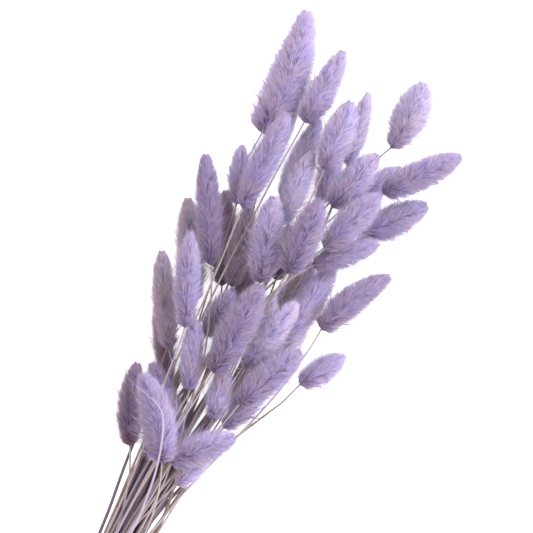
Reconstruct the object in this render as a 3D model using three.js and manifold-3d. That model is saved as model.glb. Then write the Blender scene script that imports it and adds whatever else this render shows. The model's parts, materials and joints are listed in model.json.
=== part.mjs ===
// A bunch of dried, lilac-dyed bunny tail grass (Lagurus ovatus), tied with twine and lying on a table.
// Millimetres, +Z up. +Y runs along the bunch from the cut ends to the heads, +X to the right seen from
// above, and the origin is on the table under the middle of the bunch.
//
// Each stalk is a thin bare stem with one soft head: a slim core closely covered in tufts that lean
// towards the tip. The stems run side by side through the tie, where the stems of one strand press into
// each other, then fan out and weave between the heads.

import * as THREE from "three";
import { mergeVertices } from "three/addons/utils/BufferGeometryUtils.js";
import Module from "manifold-3d";

const wasm = await Module();
wasm.setup();

// Where the bunch is seen from: straight above, turned so that it leans to the right of upright.
const VIEW_HEIGHT = 1100;
const MM_PER_PX = 0.568; // on the table
const VIEW_MIDDLE_PX = [266.5, 266.5];
const BUNCH_LEAN = THREE.MathUtils.degToRad(24.5);
const TIE_PX = [42, 700]; // below the lower edge of the picture

// Stems, strands and the tie.
const STEM_RADIUS = 0.75;
const ROD_SIDES = 4; // of a stem and of an end of the twine
const STEM_STEP = 40; // distance between the bends of a stem
const NECK = 12; // straight end of a stem, behind its head
const NECK_PLAY = 4; // how far the start of a neck may give way
const SEAT_GAP = 0.3; // between the end of a stem and the foot of its head
const CLEAR_GAP = 0.5; // kept between pieces that pass each other
const STRAND_COUNT = 12;
const STEM_PITCH = 1.0; // inside a strand, where the stems press into each other
const STRAND_PITCH = 3.2;
const CUT_END = -42; // distance of the cut ends from the tie
const CUT_END_SPREAD = 0.006; // widening of the bunch behind the tie, per mm
const TWINE_THICK = 2;
const TWINE_PITCH = 1.8; // less than the twine is thick: the turns press into each other
const TWINE_TURNS = 4;
const TWINE_STEPS = 18; // around one turn
const TIE_RADIUS = 6.95; // clear space inside the turns
const TIE_HALF_LENGTH = (TWINE_TURNS * TWINE_PITCH) / 2;
const TIE_HEIGHT = TIE_RADIUS + TWINE_THICK - 0.2; // of its middle; the turns are pressed flat below
const TIE_TOP = TIE_HEIGHT + TIE_RADIUS + TWINE_THICK;
const KNOT_RADIUS = 2.9;
const TWINE_ENDS = [{ reach: 18, back: 11 }, { reach: -16, back: 17 }]; // to the side and to the cut ends

// Heads.
const TUFTS_AROUND = 7;
const TUFT_ROWS = 7;
const ROW_START = 0.03; // share of the head's length
const ROW_END = 0.93;
const CORE_SHARE = 0.7; // of the head's girth
const ROUNDING = 0.37; // the smaller, the blunter the ends of a head
const TUFT_LEAN = 0.95; // towards the tip, of the distance between two rows
const PILE_BASE = 20; // height of the middle of the top heads over that of the lowest, at the tie,
const PILE_RISE = 0.09; // and how much that grows for each mm away from it
const RESTING = 8; // height of the middle of a head that lies on the table
const SINK = 1; // how much a resting head is pressed flat
const FALL = 0.25; // by which the low heads drop at a time, until they lie on the table
const ORDER_FALL = 0.0008; // for each mm from the tie: of two heads with one lift, the nearer lies in front
const FREE_LIFT = 0.3; // heads above this lift are held up by their stems,
const TIP_RISE = 3; // and their tips rise by this over the middle
const UNDER_LIFT = 0.6; // stems pass below the heads that lie this high or higher

// Each head: its foot and tip as seen in the picture, its girth in mm and its lift, from 0 on the table to
// 1 on top of the pile. Where it matters: how far its middle bows to the right of the line from foot to
// tip in mm, the share of its length at which it is fullest, and a place that its stem comes from.
const HEADS = [
  { foot: [263, 131], tip: [307.5, 11], girth: 25.5, lift: 0.5, bow: 3.5, fullest: 0.32, from: [250, 155] },
  { foot: [305, 121], tip: [343, 52], girth: 17.5, lift: 0.7, bow: 0.8, fullest: 0.36, from: [282, 163] },
  { foot: [243, 206], tip: [287, 115], girth: 16.5, lift: 0.95, from: [222, 262] },
  { foot: [237, 203], tip: [242, 147], girth: 13.5, lift: 0.5, from: [224, 255] },
  { foot: [222, 284], tip: [226, 192], girth: 16, lift: 0.05 },
  { foot: [232, 285], tip: [250, 205], girth: 15, lift: 0.15 },
  { foot: [211, 263], tip: [206, 155], girth: 16, lift: 0.6 },
  { foot: [194, 300], tip: [188, 199], girth: 17, lift: 0.3, bow: -0.5 },
  { foot: [185, 326], tip: [190, 233], girth: 15.5, lift: 1, from: [178, 350] },
  { foot: [169, 347], tip: [162, 252], girth: 15.5, lift: 0.6, bow: -0.5 },
  { foot: [169, 384], tip: [158, 306], girth: 12.5, lift: 0.15 },
  { foot: [130, 444], tip: [137, 364], girth: 16, lift: 0.5, bow: -1.8, from: [133, 478] },
  { foot: [178, 440], tip: [152, 364], girth: 15.5, lift: 0.5, bow: 1 },
  { foot: [162, 461], tip: [143, 375], girth: 20.5, lift: 1.1, bow: 2.7, fullest: 0.38 },
  { foot: [172, 461], tip: [234, 437], girth: 19, lift: 1.08, bow: -0.5, from: [163, 477] },
  { foot: [177, 484], tip: [209, 456], girth: 12, lift: 0.6, bow: 0.5 },
  { foot: [189, 389], tip: [195, 321], girth: 14.5, lift: 0.87, from: [187, 415] },
  { foot: [214, 371], tip: [260, 286], girth: 21, lift: 0.95, bow: 0.5, from: [203, 388] },
  { foot: [246, 366], tip: [296, 303], girth: 17, lift: 0.9, from: [229, 400] },
  { foot: [255, 347], tip: [273, 296], girth: 14, lift: 0.55 },
  { foot: [275, 325], tip: [312, 263], girth: 18, lift: 0.5 },
  { foot: [287, 337], tip: [333, 267], girth: 18, lift: 0.5 },
  { foot: [260, 281], tip: [274, 198], girth: 19.5, lift: 0.88 },
  { foot: [282, 223], tip: [312, 154], girth: 15.5, lift: 0.75, bow: -0.5, from: [279, 245] },
  { foot: [288, 272], tip: [320, 201], girth: 20, lift: 0.92, bow: 0.5, from: [275, 291] },
  { foot: [276, 279], tip: [290, 226], girth: 14, lift: 0.3 },
  { foot: [325, 247], tip: [379, 196], girth: 18.5, lift: 0.8, from: [308, 259] },
  { foot: [314, 265], tip: [377, 244], girth: 16, lift: 0.55, from: [296, 276] },
  { foot: [357, 236], tip: [426.5, 205.5], girth: 20, lift: 0.5, bow: 0.5 },
  { foot: [384.5, 192], tip: [460, 157], girth: 19, lift: 0.65, from: [372, 205] },
  { foot: [350, 203], tip: [400, 169], girth: 15.5, lift: 0.3 },
  { foot: [392, 147], tip: [424, 84], girth: 22, lift: 0.55, bow: 1.5, fullest: 0.54, from: [379, 158] },
  { foot: [333, 206], tip: [377, 156], girth: 18.5, lift: 0.75, bow: -0.5, from: [325, 228] },
  { foot: [325, 168], tip: [351, 103], girth: 19, lift: 0.8, from: [316, 190] },
  { foot: [348, 165], tip: [368.5, 94], girth: 13, lift: 0.45 },
  { foot: [283, 196], tip: [319, 121], girth: 15, lift: 0.35 },
  { foot: [321, 203], tip: [338, 140], girth: 15, lift: 0.3 },
  { foot: [240, 403], tip: [300, 352], girth: 18.5, lift: 0.95, from: [211, 433] },
  { foot: [225, 427], tip: [266, 387], girth: 15, lift: 0.5 },
  { foot: [266, 368], tip: [305, 329], girth: 14, lift: 0.35 },
  { foot: [322, 328], tip: [389, 277.5], girth: 18, lift: 0.6, bow: -2.3, fullest: 0.38, from: [300, 352] },
  { foot: [304, 388], tip: [344, 357], girth: 16.5, lift: 0.05, bow: -2, from: [262, 416] },
  { foot: [213, 418], tip: [226, 368], girth: 14.5, lift: 0.85 },
  { foot: [233, 410], tip: [258, 362], girth: 15, lift: 0.2 },
  { foot: [206, 334], tip: [232, 291], girth: 15, lift: 0.3 },
  { foot: [238, 312], tip: [250, 268], girth: 13, lift: 0.05 },
  { foot: [260, 178], tip: [296, 104], girth: 12, lift: 0.25 },
];
const FULLEST = 0.44; // unless a head states its own

// One stem has lost its head and lies over the others.
const BARE_STEM = { end: [164, 414], from: [162, 464], lift: 1.6 };

const TIE_SCALE = MM_PER_PX * (1 - TIE_HEIGHT / VIEW_HEIGHT);
const TIE_RIGHT = (TIE_PX[0] - VIEW_MIDDLE_PX[0]) * TIE_SCALE;
const TIE_DOWN = (TIE_PX[1] - VIEW_MIDDLE_PX[1]) * TIE_SCALE;

// A place in the picture, at a height over the table, in mm from the tie.
function place([px, py], height) {
  const scale = MM_PER_PX * (1 - height / VIEW_HEIGHT);
  const right = (px - VIEW_MIDDLE_PX[0]) * scale - TIE_RIGHT;
  const down = (py - VIEW_MIDDLE_PX[1]) * scale - TIE_DOWN;
  const cos = Math.cos(BUNCH_LEAN);
  const sin = Math.sin(BUNCH_LEAN);
  return new THREE.Vector3(right * cos + down * sin, right * sin - down * cos, height);
}

// Height in the fan of stems, for a lift and a place in the picture.
function fanHeight(lift, px) {
  return RESTING + lift * (PILE_BASE + PILE_RISE * place(px, RESTING).y);
}

// Share of the full girth at a share t of the way from foot to tip.
function swell(head, t) {
  const power = Math.log(0.5) / Math.log(head.fullest ?? FULLEST);
  return Math.sin(Math.PI * THREE.MathUtils.clamp(t, 0, 1) ** power) ** ROUNDING;
}

// The middle line of a head.
function spineOf(head) {
  const foot = place(head.foot, head.footHeight);
  const tip = place(head.tip, head.tipHeight);
  const along = tip.clone().sub(foot);
  const right = new THREE.Vector3(along.y, -along.x, 0).normalize();
  const middle = foot.clone().add(tip).multiplyScalar(0.5).addScaledVector(right, 2 * (head.bow ?? 0));
  return new THREE.QuadraticBezierCurve3(foot, middle, tip);
}

// The direction in which the stem of a head reaches its foot.
function arrivalOf(head) {
  const toward = spineOf(head).getTangent(0);
  if (!head.from) return toward;
  const flat = place(head.foot, head.footHeight).sub(place(head.from, head.footHeight));
  return flat.setLength(Math.hypot(toward.x, toward.y)).setZ(toward.z);
}

// Balls that fill a head and the neck of its stem, for finding room around them.
function ballsOf(head) {
  const spine = spineOf(head);
  const places = [0.04, 0.12, 0.2, 0.3, 0.4, 0.5, 0.6, 0.7, 0.8, 0.9, 0.97];
  const balls = places.map((t) => ({ t, at: spine.getPoint(t), radius: (head.girth / 2) * swell(head, t) }));
  const back = arrivalOf(head).negate();
  for (const behind of [4, 9]) {
    const at = spine.getPoint(0).addScaledVector(back, behind);
    balls.push({ t: 0, at, radius: STEM_RADIUS, neck: true });
  }
  return balls;
}

// Lowers the low heads onto the table and moves all up or down until none touches another. What lies in
// front stays in front.
function settleHeads(heads) {
  const rounds = 300;
  const falling = 150; // rounds
  const share = 0.35; // of a clash, mended at a time
  for (const head of heads) {
    const nod = head.lift > FREE_LIFT ? TIP_RISE : 0;
    head.footHeight = fanHeight(head.lift, head.foot) - nod;
    head.tipHeight = fanHeight(head.lift, head.tip) + nod;
    head.order = head.lift - ORDER_FALL * spineOf(head).getPoint(0.5).y;
  }
  for (let round = 0; round < rounds; round++) {
    const balls = heads.map(ballsOf);
    const shift = heads.map(() => ({ foot: 0, tip: 0 }));
    const push = (index, t, by) => {
      shift[index].foot += by * (1 - t);
      shift[index].tip += by * t;
    };
    heads.forEach((head, a) => {
      for (const ball of balls[a]) push(a, ball.t, Math.max(0, ball.radius - SINK - ball.at.z) * share);
      for (let b = a + 1; b < heads.length; b++) {
        const upward = head.order >= heads[b].order ? 1 : -1;
        for (const one of balls[a]) {
          for (const other of balls[b]) {
            const apart = one.radius + other.radius + CLEAR_GAP;
            const across = Math.hypot(one.at.x - other.at.x, one.at.y - other.at.y);
            if (across >= apart) continue;
            const lack = Math.sqrt(apart ** 2 - across ** 2) - upward * (one.at.z - other.at.z);
            if (lack <= 0) continue;
            push(a, one.t, (upward * lack * share) / 4);
            push(b, other.t, (-upward * lack * share) / 4);
          }
        }
      }
    });
    heads.forEach((head, a) => {
      const fall = round < falling && head.lift <= FREE_LIFT ? FALL : 0;
      head.footHeight += THREE.MathUtils.clamp(shift[a].foot - fall, -2, 2);
      head.tipHeight += THREE.MathUtils.clamp(shift[a].tip - fall, -2, 2);
    });
  }
}

// Turns triangles of corner points into a closed solid.
function solidOf(points, triangles) {
  const vertProperties = new Float32Array(points.flatMap((point) => [point.x, point.y, point.z]));
  const triVerts = new Uint32Array(triangles.flat());
  return new wasm.Manifold(new wasm.Mesh({ numProp: 3, vertProperties, triVerts }));
}

// Two directions square to a line, the same way round for every line that runs mainly along +Y.
function crossOf(along) {
  const up = new THREE.Vector3(0, 0, 1);
  const side = up.cross(along).normalize();
  return { side, top: along.clone().cross(side).normalize() };
}

// A head: rings of core corners, each ring turned half a step from the last, and over every diamond of
// four corners a tuft that rises to the full girth and leans towards the tip.
function headSolid(head) {
  const spine = spineOf(head);
  const points = [];
  const triangles = [];
  const rowStep = (ROW_END - ROW_START) / TUFT_ROWS;
  const add = (t, turn, share) => {
    const { side, top } = crossOf(spine.getTangent(t));
    const radius = (head.girth / 2) * swell(head, t) * share;
    const angle = (turn / TUFTS_AROUND) * 2 * Math.PI + head.twist;
    const point = spine.getPoint(t);
    point.addScaledVector(side, radius * Math.cos(angle)).addScaledVector(top, radius * Math.sin(angle));
    point.z = Math.max(point.z, 0);
    return points.push(point) - 1;
  };
  const rings = [];
  for (let row = 0; row <= TUFT_ROWS; row++) {
    const ring = [];
    for (let i = 0; i < TUFTS_AROUND; i++) ring.push(add(ROW_START + row * rowStep, i + row / 2, CORE_SHARE));
    rings.push(ring);
  }
  const foot = add(0, 0, 0);
  const tip = add(1, 0, 0);
  const last = rings[TUFT_ROWS];
  for (let i = 0; i < TUFTS_AROUND; i++) {
    const next = (i + 1) % TUFTS_AROUND;
    triangles.push([foot, rings[0][next], rings[0][i]], [rings[0][i], rings[0][next], rings[1][i]]);
    triangles.push([tip, last[i], last[next]], [last[next], last[i], rings[TUFT_ROWS - 1][next]]);
    for (let row = 0; row + 2 <= TUFT_ROWS; row++) {
      const below = rings[row][next];
      const left = rings[row + 1][i];
      const right = rings[row + 1][next];
      const above = rings[row + 2][i];
      const peak = add(ROW_START + (row + 1 + TUFT_LEAN) * rowStep, i + 1 + row / 2, 1);
      triangles.push([below, peak, left], [below, right, peak], [right, above, peak], [above, left, peak]);
    }
  }
  return solidOf(points, triangles);
}

// Places of the strands in the tie, close packed, nearest to the middle first.
function strandPlaces() {
  const places = [];
  for (let row = -3; row <= 3; row++) {
    for (let column = -3; column <= 3; column++) {
      const x = (column + (row % 2 ? 0.5 : 0) + 0.25) * STRAND_PITCH;
      const z = (row + 0.33) * STRAND_PITCH * Math.sin(Math.PI / 3);
      places.push(new THREE.Vector2(x, z));
    }
  }
  places.sort((a, b) => a.length() - b.length());
  const chosen = places.slice(0, STRAND_COUNT);
  const middle = chosen.reduce((sum, at) => sum.add(at), new THREE.Vector2()).divideScalar(STRAND_COUNT);
  return chosen.map((at) => at.clone().sub(middle));
}

// Places of the single stems in the tie: four to a strand.
function stemPlaces() {
  const half = STEM_PITCH / 2;
  const corners = [[-half, -half], [half, -half], [half, half], [-half, half]];
  return strandPlaces().flatMap((at, strand) =>
    corners.map(([x, z]) => ({ strand, at: new THREE.Vector2(at.x + x, at.y + z) })),
  );
}

// The way a stem would take if nothing stood in it, from the tie to its head.
function freeWay(from, end, toward) {
  const reach = from.distanceTo(end);
  const leave = from.clone().add(new THREE.Vector3(from.x * 0.5, reach * 0.5, (from.z - TIE_HEIGHT) * 0.5));
  const arrive = end.clone().addScaledVector(toward, -reach * 0.32);
  return new THREE.CubicBezierCurve3(from, leave, arrive, end);
}

// Gives each stalk the place in the tie that suits its way, so that few stems need to cross.
function shareOutPlaces(stalks) {
  const places = stemPlaces();
  const level = 0.35; // share of the way at which the order of the stems is taken
  const start = new THREE.Vector3(0, TIE_HALF_LENGTH, TIE_HEIGHT);
  const wishes = stalks.map((stalk) => {
    const at = freeWay(start, stalk.end, stalk.toward).getPoint(level);
    const far = at.y - start.y;
    return new THREE.Vector2(at.x / far, (at.z - TIE_HEIGHT) / far);
  });
  const spreadOf = (list, axis) => {
    const middle = list.reduce((sum, item) => sum + item[axis], 0) / list.length;
    const width = Math.sqrt(list.reduce((sum, item) => sum + (item[axis] - middle) ** 2, 0) / list.length);
    return (item) => (item[axis] - middle) / width;
  };
  const wishX = spreadOf(wishes, "x");
  const wishZ = spreadOf(wishes, "y");
  const placeX = spreadOf(places.map((one) => one.at), "x");
  const placeZ = spreadOf(places.map((one) => one.at), "y");
  const cost = (stalk, slot) => {
    if (stalk >= stalks.length) return 0;
    const across = wishX(wishes[stalk]) - placeX(places[slot].at);
    const upward = wishZ(wishes[stalk]) - placeZ(places[slot].at);
    return across ** 2 + upward ** 2;
  };
  const slots = places.map((_, index) => index);
  for (let better = true; better; ) {
    better = false;
    for (let a = 0; a < slots.length; a++) {
      for (let b = a + 1; b < slots.length; b++) {
        const now = cost(a, slots[a]) + cost(b, slots[b]);
        if (cost(a, slots[b]) + cost(b, slots[a]) < now - 1e-9) {
          [slots[a], slots[b]] = [slots[b], slots[a]];
          better = true;
        }
      }
    }
  }
  stalks.forEach((stalk, index) => Object.assign(stalk, places[slots[index]]));
}

// Lays the bends of a stem along its free way. The first three and the last one stay where they are.
function layStem(stalk, index) {
  const inTie = (y, spread) => {
    const x = stalk.at.x * (1 + spread);
    return new THREE.Vector3(x, y, TIE_HEIGHT + stalk.at.y * (1 + spread));
  };
  const cut = CUT_END + ((index * 7) % 11) - 5;
  const start = inTie(TIE_HALF_LENGTH + 2, 0);
  const way = freeWay(start, stalk.end, stalk.toward);
  const neckAt = 1 - NECK / start.distanceTo(stalk.end);
  const steps = Math.round(start.distanceTo(stalk.end) / STEM_STEP);
  const bends = [];
  for (let step = 1; step < steps; step++) bends.push(way.getPoint((step / steps) * neckAt));
  const neck = stalk.end.clone().addScaledVector(stalk.toward, -NECK);
  const cutEnd = inTie(cut, -cut * CUT_END_SPREAD);
  stalk.bends = [cutEnd, inTie(-TIE_HALF_LENGTH - 2, 0), start, ...bends, neck, stalk.end];
  stalk.rest = stalk.bends.map((bend) => bend.clone());
}

// The nearest points of two straight lines, as shares of their lengths.
function nearest(a0, a1, b0, b1) {
  const a = a1.clone().sub(a0);
  const b = b1.clone().sub(b0);
  const between = a0.clone().sub(b0);
  const aa = a.dot(a);
  const bb = b.dot(b);
  const ab = a.dot(b);
  const ac = a.dot(between);
  const bc = b.dot(between);
  const flat = aa * bb - ab * ab;
  let s = flat > 1e-9 ? THREE.MathUtils.clamp((ab * bc - ac * bb) / flat, 0, 1) : 0;
  let t = (ab * s + bc) / bb;
  if (t < 0 || t > 1) {
    t = THREE.MathUtils.clamp(t, 0, 1);
    s = THREE.MathUtils.clamp((ab * t - ac) / aa, 0, 1);
  }
  return { s, t };
}

// How one piece of a stem is pushed by a ball: out of it, or below the heads that lie high.
function pushFrom(ball, one, two, goesUnder) {
  const apart = ball.radius + STEM_RADIUS + CLEAR_GAP;
  const slack = 5;
  if (ball.at.y < one.y - apart - slack || ball.at.y > two.y + apart + slack) return null;
  const along = two.clone().sub(one);
  const share = THREE.MathUtils.clamp(ball.at.clone().sub(one).dot(along) / along.lengthSq(), 0, 1);
  const off = one.clone().addScaledVector(along, share).sub(ball.at);
  const across = Math.hypot(off.x, off.y);
  if (goesUnder && ball.head.lift >= UNDER_LIFT && across < apart) {
    const down = -Math.sqrt(apart ** 2 - across ** 2) - off.z;
    if (down < 0 && -down < 2 * apart) return { share, by: new THREE.Vector3(0, 0, down * 0.35) };
  }
  const lack = apart - off.length();
  return lack > 0 ? { share, by: off.setLength(lack * 0.5) } : null;
}

// How two pieces of stems that pass each other push themselves apart.
function pushBetween(one, two, three, four) {
  const { s, t } = nearest(one, two, three, four);
  const off = one.clone().lerp(two, s).sub(three.clone().lerp(four, t));
  const lack = 2 * STEM_RADIUS + CLEAR_GAP - off.length();
  return lack > 0 ? { s, t, by: off.setLength(lack * 0.4) } : null;
}

// The bends that stay where they are: in the tie and at the head.
function isFirm(stalk, i) {
  return i < 3 || i === stalk.bends.length - 1;
}

// Pushes a stem away from the heads and the necks of other stalks.
function clearHeads(stalk, balls, push) {
  const { bends } = stalk;
  for (let i = 0; i + 1 < bends.length; i++) {
    const behindNeck = i + 2 < bends.length;
    for (const ball of balls) {
      if (ball.head === stalk.head) continue;
      const hit = pushFrom(ball, bends[i], bends[i + 1], behindNeck && !ball.neck && stalk.head);
      if (!hit) continue;
      const grip = (1 - hit.share) ** 2 + hit.share ** 2;
      push(stalk, i, hit.by, (1 - hit.share) / grip);
      push(stalk, i + 1, hit.by, hit.share / grip);
    }
  }
}

// Pushes two stems apart wherever they come close. Those of one strand touch up to their third bend.
function clearStems(stalk, other, push) {
  const together = other.strand === stalk.strand;
  const slack = 3;
  for (let i = together ? 3 : 0; i + 1 < stalk.bends.length; i++) {
    const [one, two] = stalk.bends.slice(i, i + 2);
    for (let j = together ? 3 : 2; j + 1 < other.bends.length; j++) {
      const [three, four] = other.bends.slice(j, j + 2);
      if (three.y > two.y + slack || four.y < one.y - slack) continue;
      const hit = pushBetween(one, two, three, four);
      if (!hit) continue;
      push(stalk, i, hit.by, 1 - hit.s);
      push(stalk, i + 1, hit.by, hit.s);
      push(other, j, hit.by, hit.t - 1);
      push(other, j + 1, hit.by, -hit.t);
    }
  }
}

// Moves the bends of a stem by their pushes, back towards its free way, and evens out what sticks out.
function shiftBends(stalk, stiff, even) {
  stalk.bends.forEach((bend, i) => {
    if (isFirm(stalk, i)) return;
    bend.add(stalk.moves[i].clampLength(0, 3));
    bend.lerp(stalk.rest[i], stiff);
    bend.z = Math.max(bend.z, STEM_RADIUS + CLEAR_GAP);
  });
  const strays = stalk.bends.map((bend, i) => bend.clone().sub(stalk.rest[i]));
  stalk.bends.forEach((bend, i) => {
    if (isFirm(stalk, i)) return;
    const middle = strays[i - 1].clone().add(strays[i + 1]).multiplyScalar(0.5);
    bend.addScaledVector(middle.sub(strays[i]), even);
    if (i !== stalk.bends.length - 2) return;
    bend.sub(stalk.rest[i]).clampLength(0, NECK_PLAY).add(stalk.rest[i]);
  });
}

// Bends the stems until each is clear of every head, of the table and of the stems of other strands.
// At first they are stiff, then they give way freely, and at last they are no longer evened out.
function routeStems(stalks, heads) {
  const rounds = 700;
  const balls = heads.flatMap((head) => ballsOf(head).map((ball) => ({ ...ball, head })));
  const push = (stalk, i, by, share) => {
    if (!isFirm(stalk, i)) stalk.moves[i].addScaledVector(by, share);
  };
  for (let round = 0; round < rounds; round++) {
    for (const stalk of stalks) stalk.moves = stalk.bends.map(() => new THREE.Vector3());
    stalks.forEach((stalk, a) => {
      clearHeads(stalk, balls, push);
      for (const other of stalks.slice(a + 1)) clearStems(stalk, other, push);
    });
    const [stiff, even] = round <= rounds * 0.6 ? [0.08, 0.2] : round <= rounds * 0.85 ? [0, 0.06] : [0, 0];
    for (const stalk of stalks) shiftBends(stalk, stiff, even);
  }
}

// A rod with flat sides and cut ends that follows its bends: a stem or an end of the twine.
function rodSolid(bends, radius) {
  const points = [];
  const triangles = [];
  bends.forEach((bend, i) => {
    const before = bends[Math.max(i - 1, 0)];
    const after = bends[Math.min(i + 1, bends.length - 1)];
    const { side, top } = crossOf(after.clone().sub(before));
    for (let k = 0; k < ROD_SIDES; k++) {
      const angle = (k / ROD_SIDES) * 2 * Math.PI;
      const point = bend.clone().addScaledVector(side, radius * Math.cos(angle));
      points.push(point.addScaledVector(top, radius * Math.sin(angle)));
    }
  });
  const last = (bends.length - 1) * ROD_SIDES;
  for (let k = 0; k < ROD_SIDES; k++) {
    const next = (k + 1) % ROD_SIDES;
    for (let i = 0; i < last; i += ROD_SIDES) {
      const after = i + ROD_SIDES;
      triangles.push([i + k, i + next, after + next], [i + k, after + next, after + k]);
    }
    if (k > 0 && k < ROD_SIDES - 1) triangles.push([0, k + 1, k], [last, last + k, last + k + 1]);
  }
  return solidOf(points, triangles);
}

// The knot on top of the tie, and the two ends of the twine that hang from it down to the table.
function knotSolid() {
  const ball = new THREE.IcosahedronGeometry(KNOT_RADIUS, 1).scale(1, 0.9, 0.7).translate(0, 0, TIE_TOP);
  ball.deleteAttribute("normal");
  ball.deleteAttribute("uv");
  const merged = mergeVertices(ball);
  const vertProperties = new Float32Array(merged.attributes.position.array);
  const triVerts = new Uint32Array(merged.index.array);
  const knot = new wasm.Manifold(new wasm.Mesh({ numProp: 3, vertProperties, triVerts }));
  const radius = TWINE_THICK / 2;
  const ends = TWINE_ENDS.map(({ reach, back }) => {
    const bend = (share, height) => new THREE.Vector3(reach * share, -back * share, height);
    const heights = [TIE_TOP, TIE_TOP + 0.8, TIE_TOP - 2.5, TIE_TOP - 10, radius + CLEAR_GAP];
    return rodSolid([0, 0.28, 0.6, 0.85, 1].map((share, i) => bend(share, heights[i])), radius);
  });
  return ends.reduce((sum, end) => sum.add(end), knot);
}

// The tie: turns of twine side by side, pressed into each other and flat against the table, and the knot.
function tieSolid() {
  const profile = [];
  for (let turn = 0; turn < TWINE_TURNS; turn++) {
    const y = -TIE_HALF_LENGTH + turn * TWINE_PITCH;
    profile.push([y, 0.5], [y + 0.25 * TWINE_PITCH, 1], [y + 0.75 * TWINE_PITCH, 1]);
  }
  profile.push([TIE_HALF_LENGTH, 0.5], [TIE_HALF_LENGTH, 0], [-TIE_HALF_LENGTH, 0]);
  const points = [];
  const triangles = [];
  for (let step = 0; step < TWINE_STEPS; step++) {
    const around = (step / TWINE_STEPS) * 2 * Math.PI;
    const one = step * profile.length;
    const two = ((step + 1) % TWINE_STEPS) * profile.length;
    profile.forEach(([y, rise], k) => {
      const next = (k + 1) % profile.length;
      const radius = TIE_RADIUS + rise * TWINE_THICK;
      const z = Math.max(0, TIE_HEIGHT + radius * Math.sin(around));
      points.push(new THREE.Vector3(radius * Math.cos(around), y, z));
      triangles.push([one + k, one + next, two + next], [one + k, two + next, two + k]);
    });
  }
  return solidOf(points, triangles).add(knotSolid());
}

const FLUFF = { color: 0xa58cbc, roughness: 0.95 };
const STRAW = { color: 0xb3a090, roughness: 0.8 };
const TWINE = { color: 0xb08d5e, roughness: 0.9 };

// Shows a solid as a named mesh, with the origin under the middle of the bunch.
function meshOf(name, solid, look, shift) {
  const mesh = solid.getMesh();
  const geometry = new THREE.BufferGeometry();
  geometry.setAttribute("position", new THREE.BufferAttribute(mesh.vertProperties, mesh.numProp));
  geometry.setIndex(new THREE.BufferAttribute(mesh.triVerts, 1));
  geometry.translate(shift.x, shift.y, 0);
  const shown = new THREE.Mesh(geometry, new THREE.MeshStandardMaterial(look));
  shown.name = name;
  return shown;
}

const heads = HEADS.map((head, index) => ({ ...head, twist: index * 2.4 }));
settleHeads(heads);
const stalks = heads.map((head) => {
  const toward = arrivalOf(head);
  return { head, toward, end: spineOf(head).getPoint(0).addScaledVector(toward, -SEAT_GAP) };
});
const bareEnd = place(BARE_STEM.end, fanHeight(BARE_STEM.lift, BARE_STEM.end));
const bareFrom = place(BARE_STEM.from, fanHeight(BARE_STEM.lift, BARE_STEM.from));
stalks.push({ head: null, end: bareEnd, toward: bareEnd.clone().sub(bareFrom).normalize() });
shareOutPlaces(stalks);
stalks.forEach(layStem);
routeStems(stalks, heads);

const solids = heads.map((head, index) => [`head_${index + 1}`, headSolid(head), FLUFF]);
for (let strand = 0; strand < STRAND_COUNT; strand++) {
  const inStrand = stalks.filter((stalk) => stalk.strand === strand);
  const stems = inStrand.map((stalk) => rodSolid(stalk.bends, STEM_RADIUS));
  solids.push([`strand_${strand + 1}`, stems.reduce((sum, stem) => sum.add(stem)), STRAW]);
}
solids.push(["tie", tieSolid(), TWINE]);

const box = new THREE.Box3();
for (const [, solid] of solids) {
  const { min, max } = solid.boundingBox();
  box.expandByPoint(new THREE.Vector3(...min)).expandByPoint(new THREE.Vector3(...max));
}
const shift = box.getCenter(new THREE.Vector3()).negate();
const bunch = new THREE.Group();
for (const [name, solid, look] of solids) bunch.add(meshOf(name, solid, look, shift));
export default bunch;
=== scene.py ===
"""A bunch of dried, lilac bunny tail grass, tied with twine and lying on a pale floor.

Every stalk is a thin dry stem with one soft head. The heads are dressed with fine hairs that grow out of a
slim core and lean towards the tip, with a few longer awns between them. The stems run through four turns of
knotted twine. All sizes are in metres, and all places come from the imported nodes.
"""

import json
import logging
import math
from dataclasses import dataclass, field
from enum import Enum
from itertools import permutations

import bpy
import numpy as np
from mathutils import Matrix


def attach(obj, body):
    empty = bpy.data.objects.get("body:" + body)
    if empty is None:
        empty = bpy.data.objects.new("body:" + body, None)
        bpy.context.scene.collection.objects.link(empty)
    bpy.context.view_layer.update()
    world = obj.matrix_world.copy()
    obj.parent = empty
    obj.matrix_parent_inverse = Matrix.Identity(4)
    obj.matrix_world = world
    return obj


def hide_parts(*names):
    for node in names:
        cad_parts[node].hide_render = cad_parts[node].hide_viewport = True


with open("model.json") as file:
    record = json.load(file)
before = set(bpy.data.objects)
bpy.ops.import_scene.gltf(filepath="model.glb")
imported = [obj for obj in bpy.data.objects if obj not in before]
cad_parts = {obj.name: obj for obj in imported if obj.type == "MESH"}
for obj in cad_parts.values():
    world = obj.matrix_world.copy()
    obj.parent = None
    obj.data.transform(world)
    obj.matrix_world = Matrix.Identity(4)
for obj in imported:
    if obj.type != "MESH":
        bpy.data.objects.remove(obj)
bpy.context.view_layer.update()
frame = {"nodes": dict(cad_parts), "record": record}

MM = 0.001
UP = (0.0, 0.0, 1.0)
FLOOR_GAP = 0.2 * MM  # kept between the finest hairs and the floor
BAKE_MAP = "OFBake"  # the UV map of a piece, along which its colours run
STRAY_COLUMN = 0.97  # where the hairs that stand out of the coat lie in that map
LEAN = math.radians(24.5)  # by which the photo is turned against the frame
HAIRS = 370_000  # on all heads
LOG = logging.getLogger("bunny_tails")

Draw = np.random.Generator
Span = tuple[float, float]
Triple = tuple[float, float, float]
Socket = bpy.types.NodeSocket
Tree = bpy.types.NodeTree
Stops = tuple[tuple[float, Triple], ...]
Inputs = dict[str | int, Socket | float | tuple[float, ...]]


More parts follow.
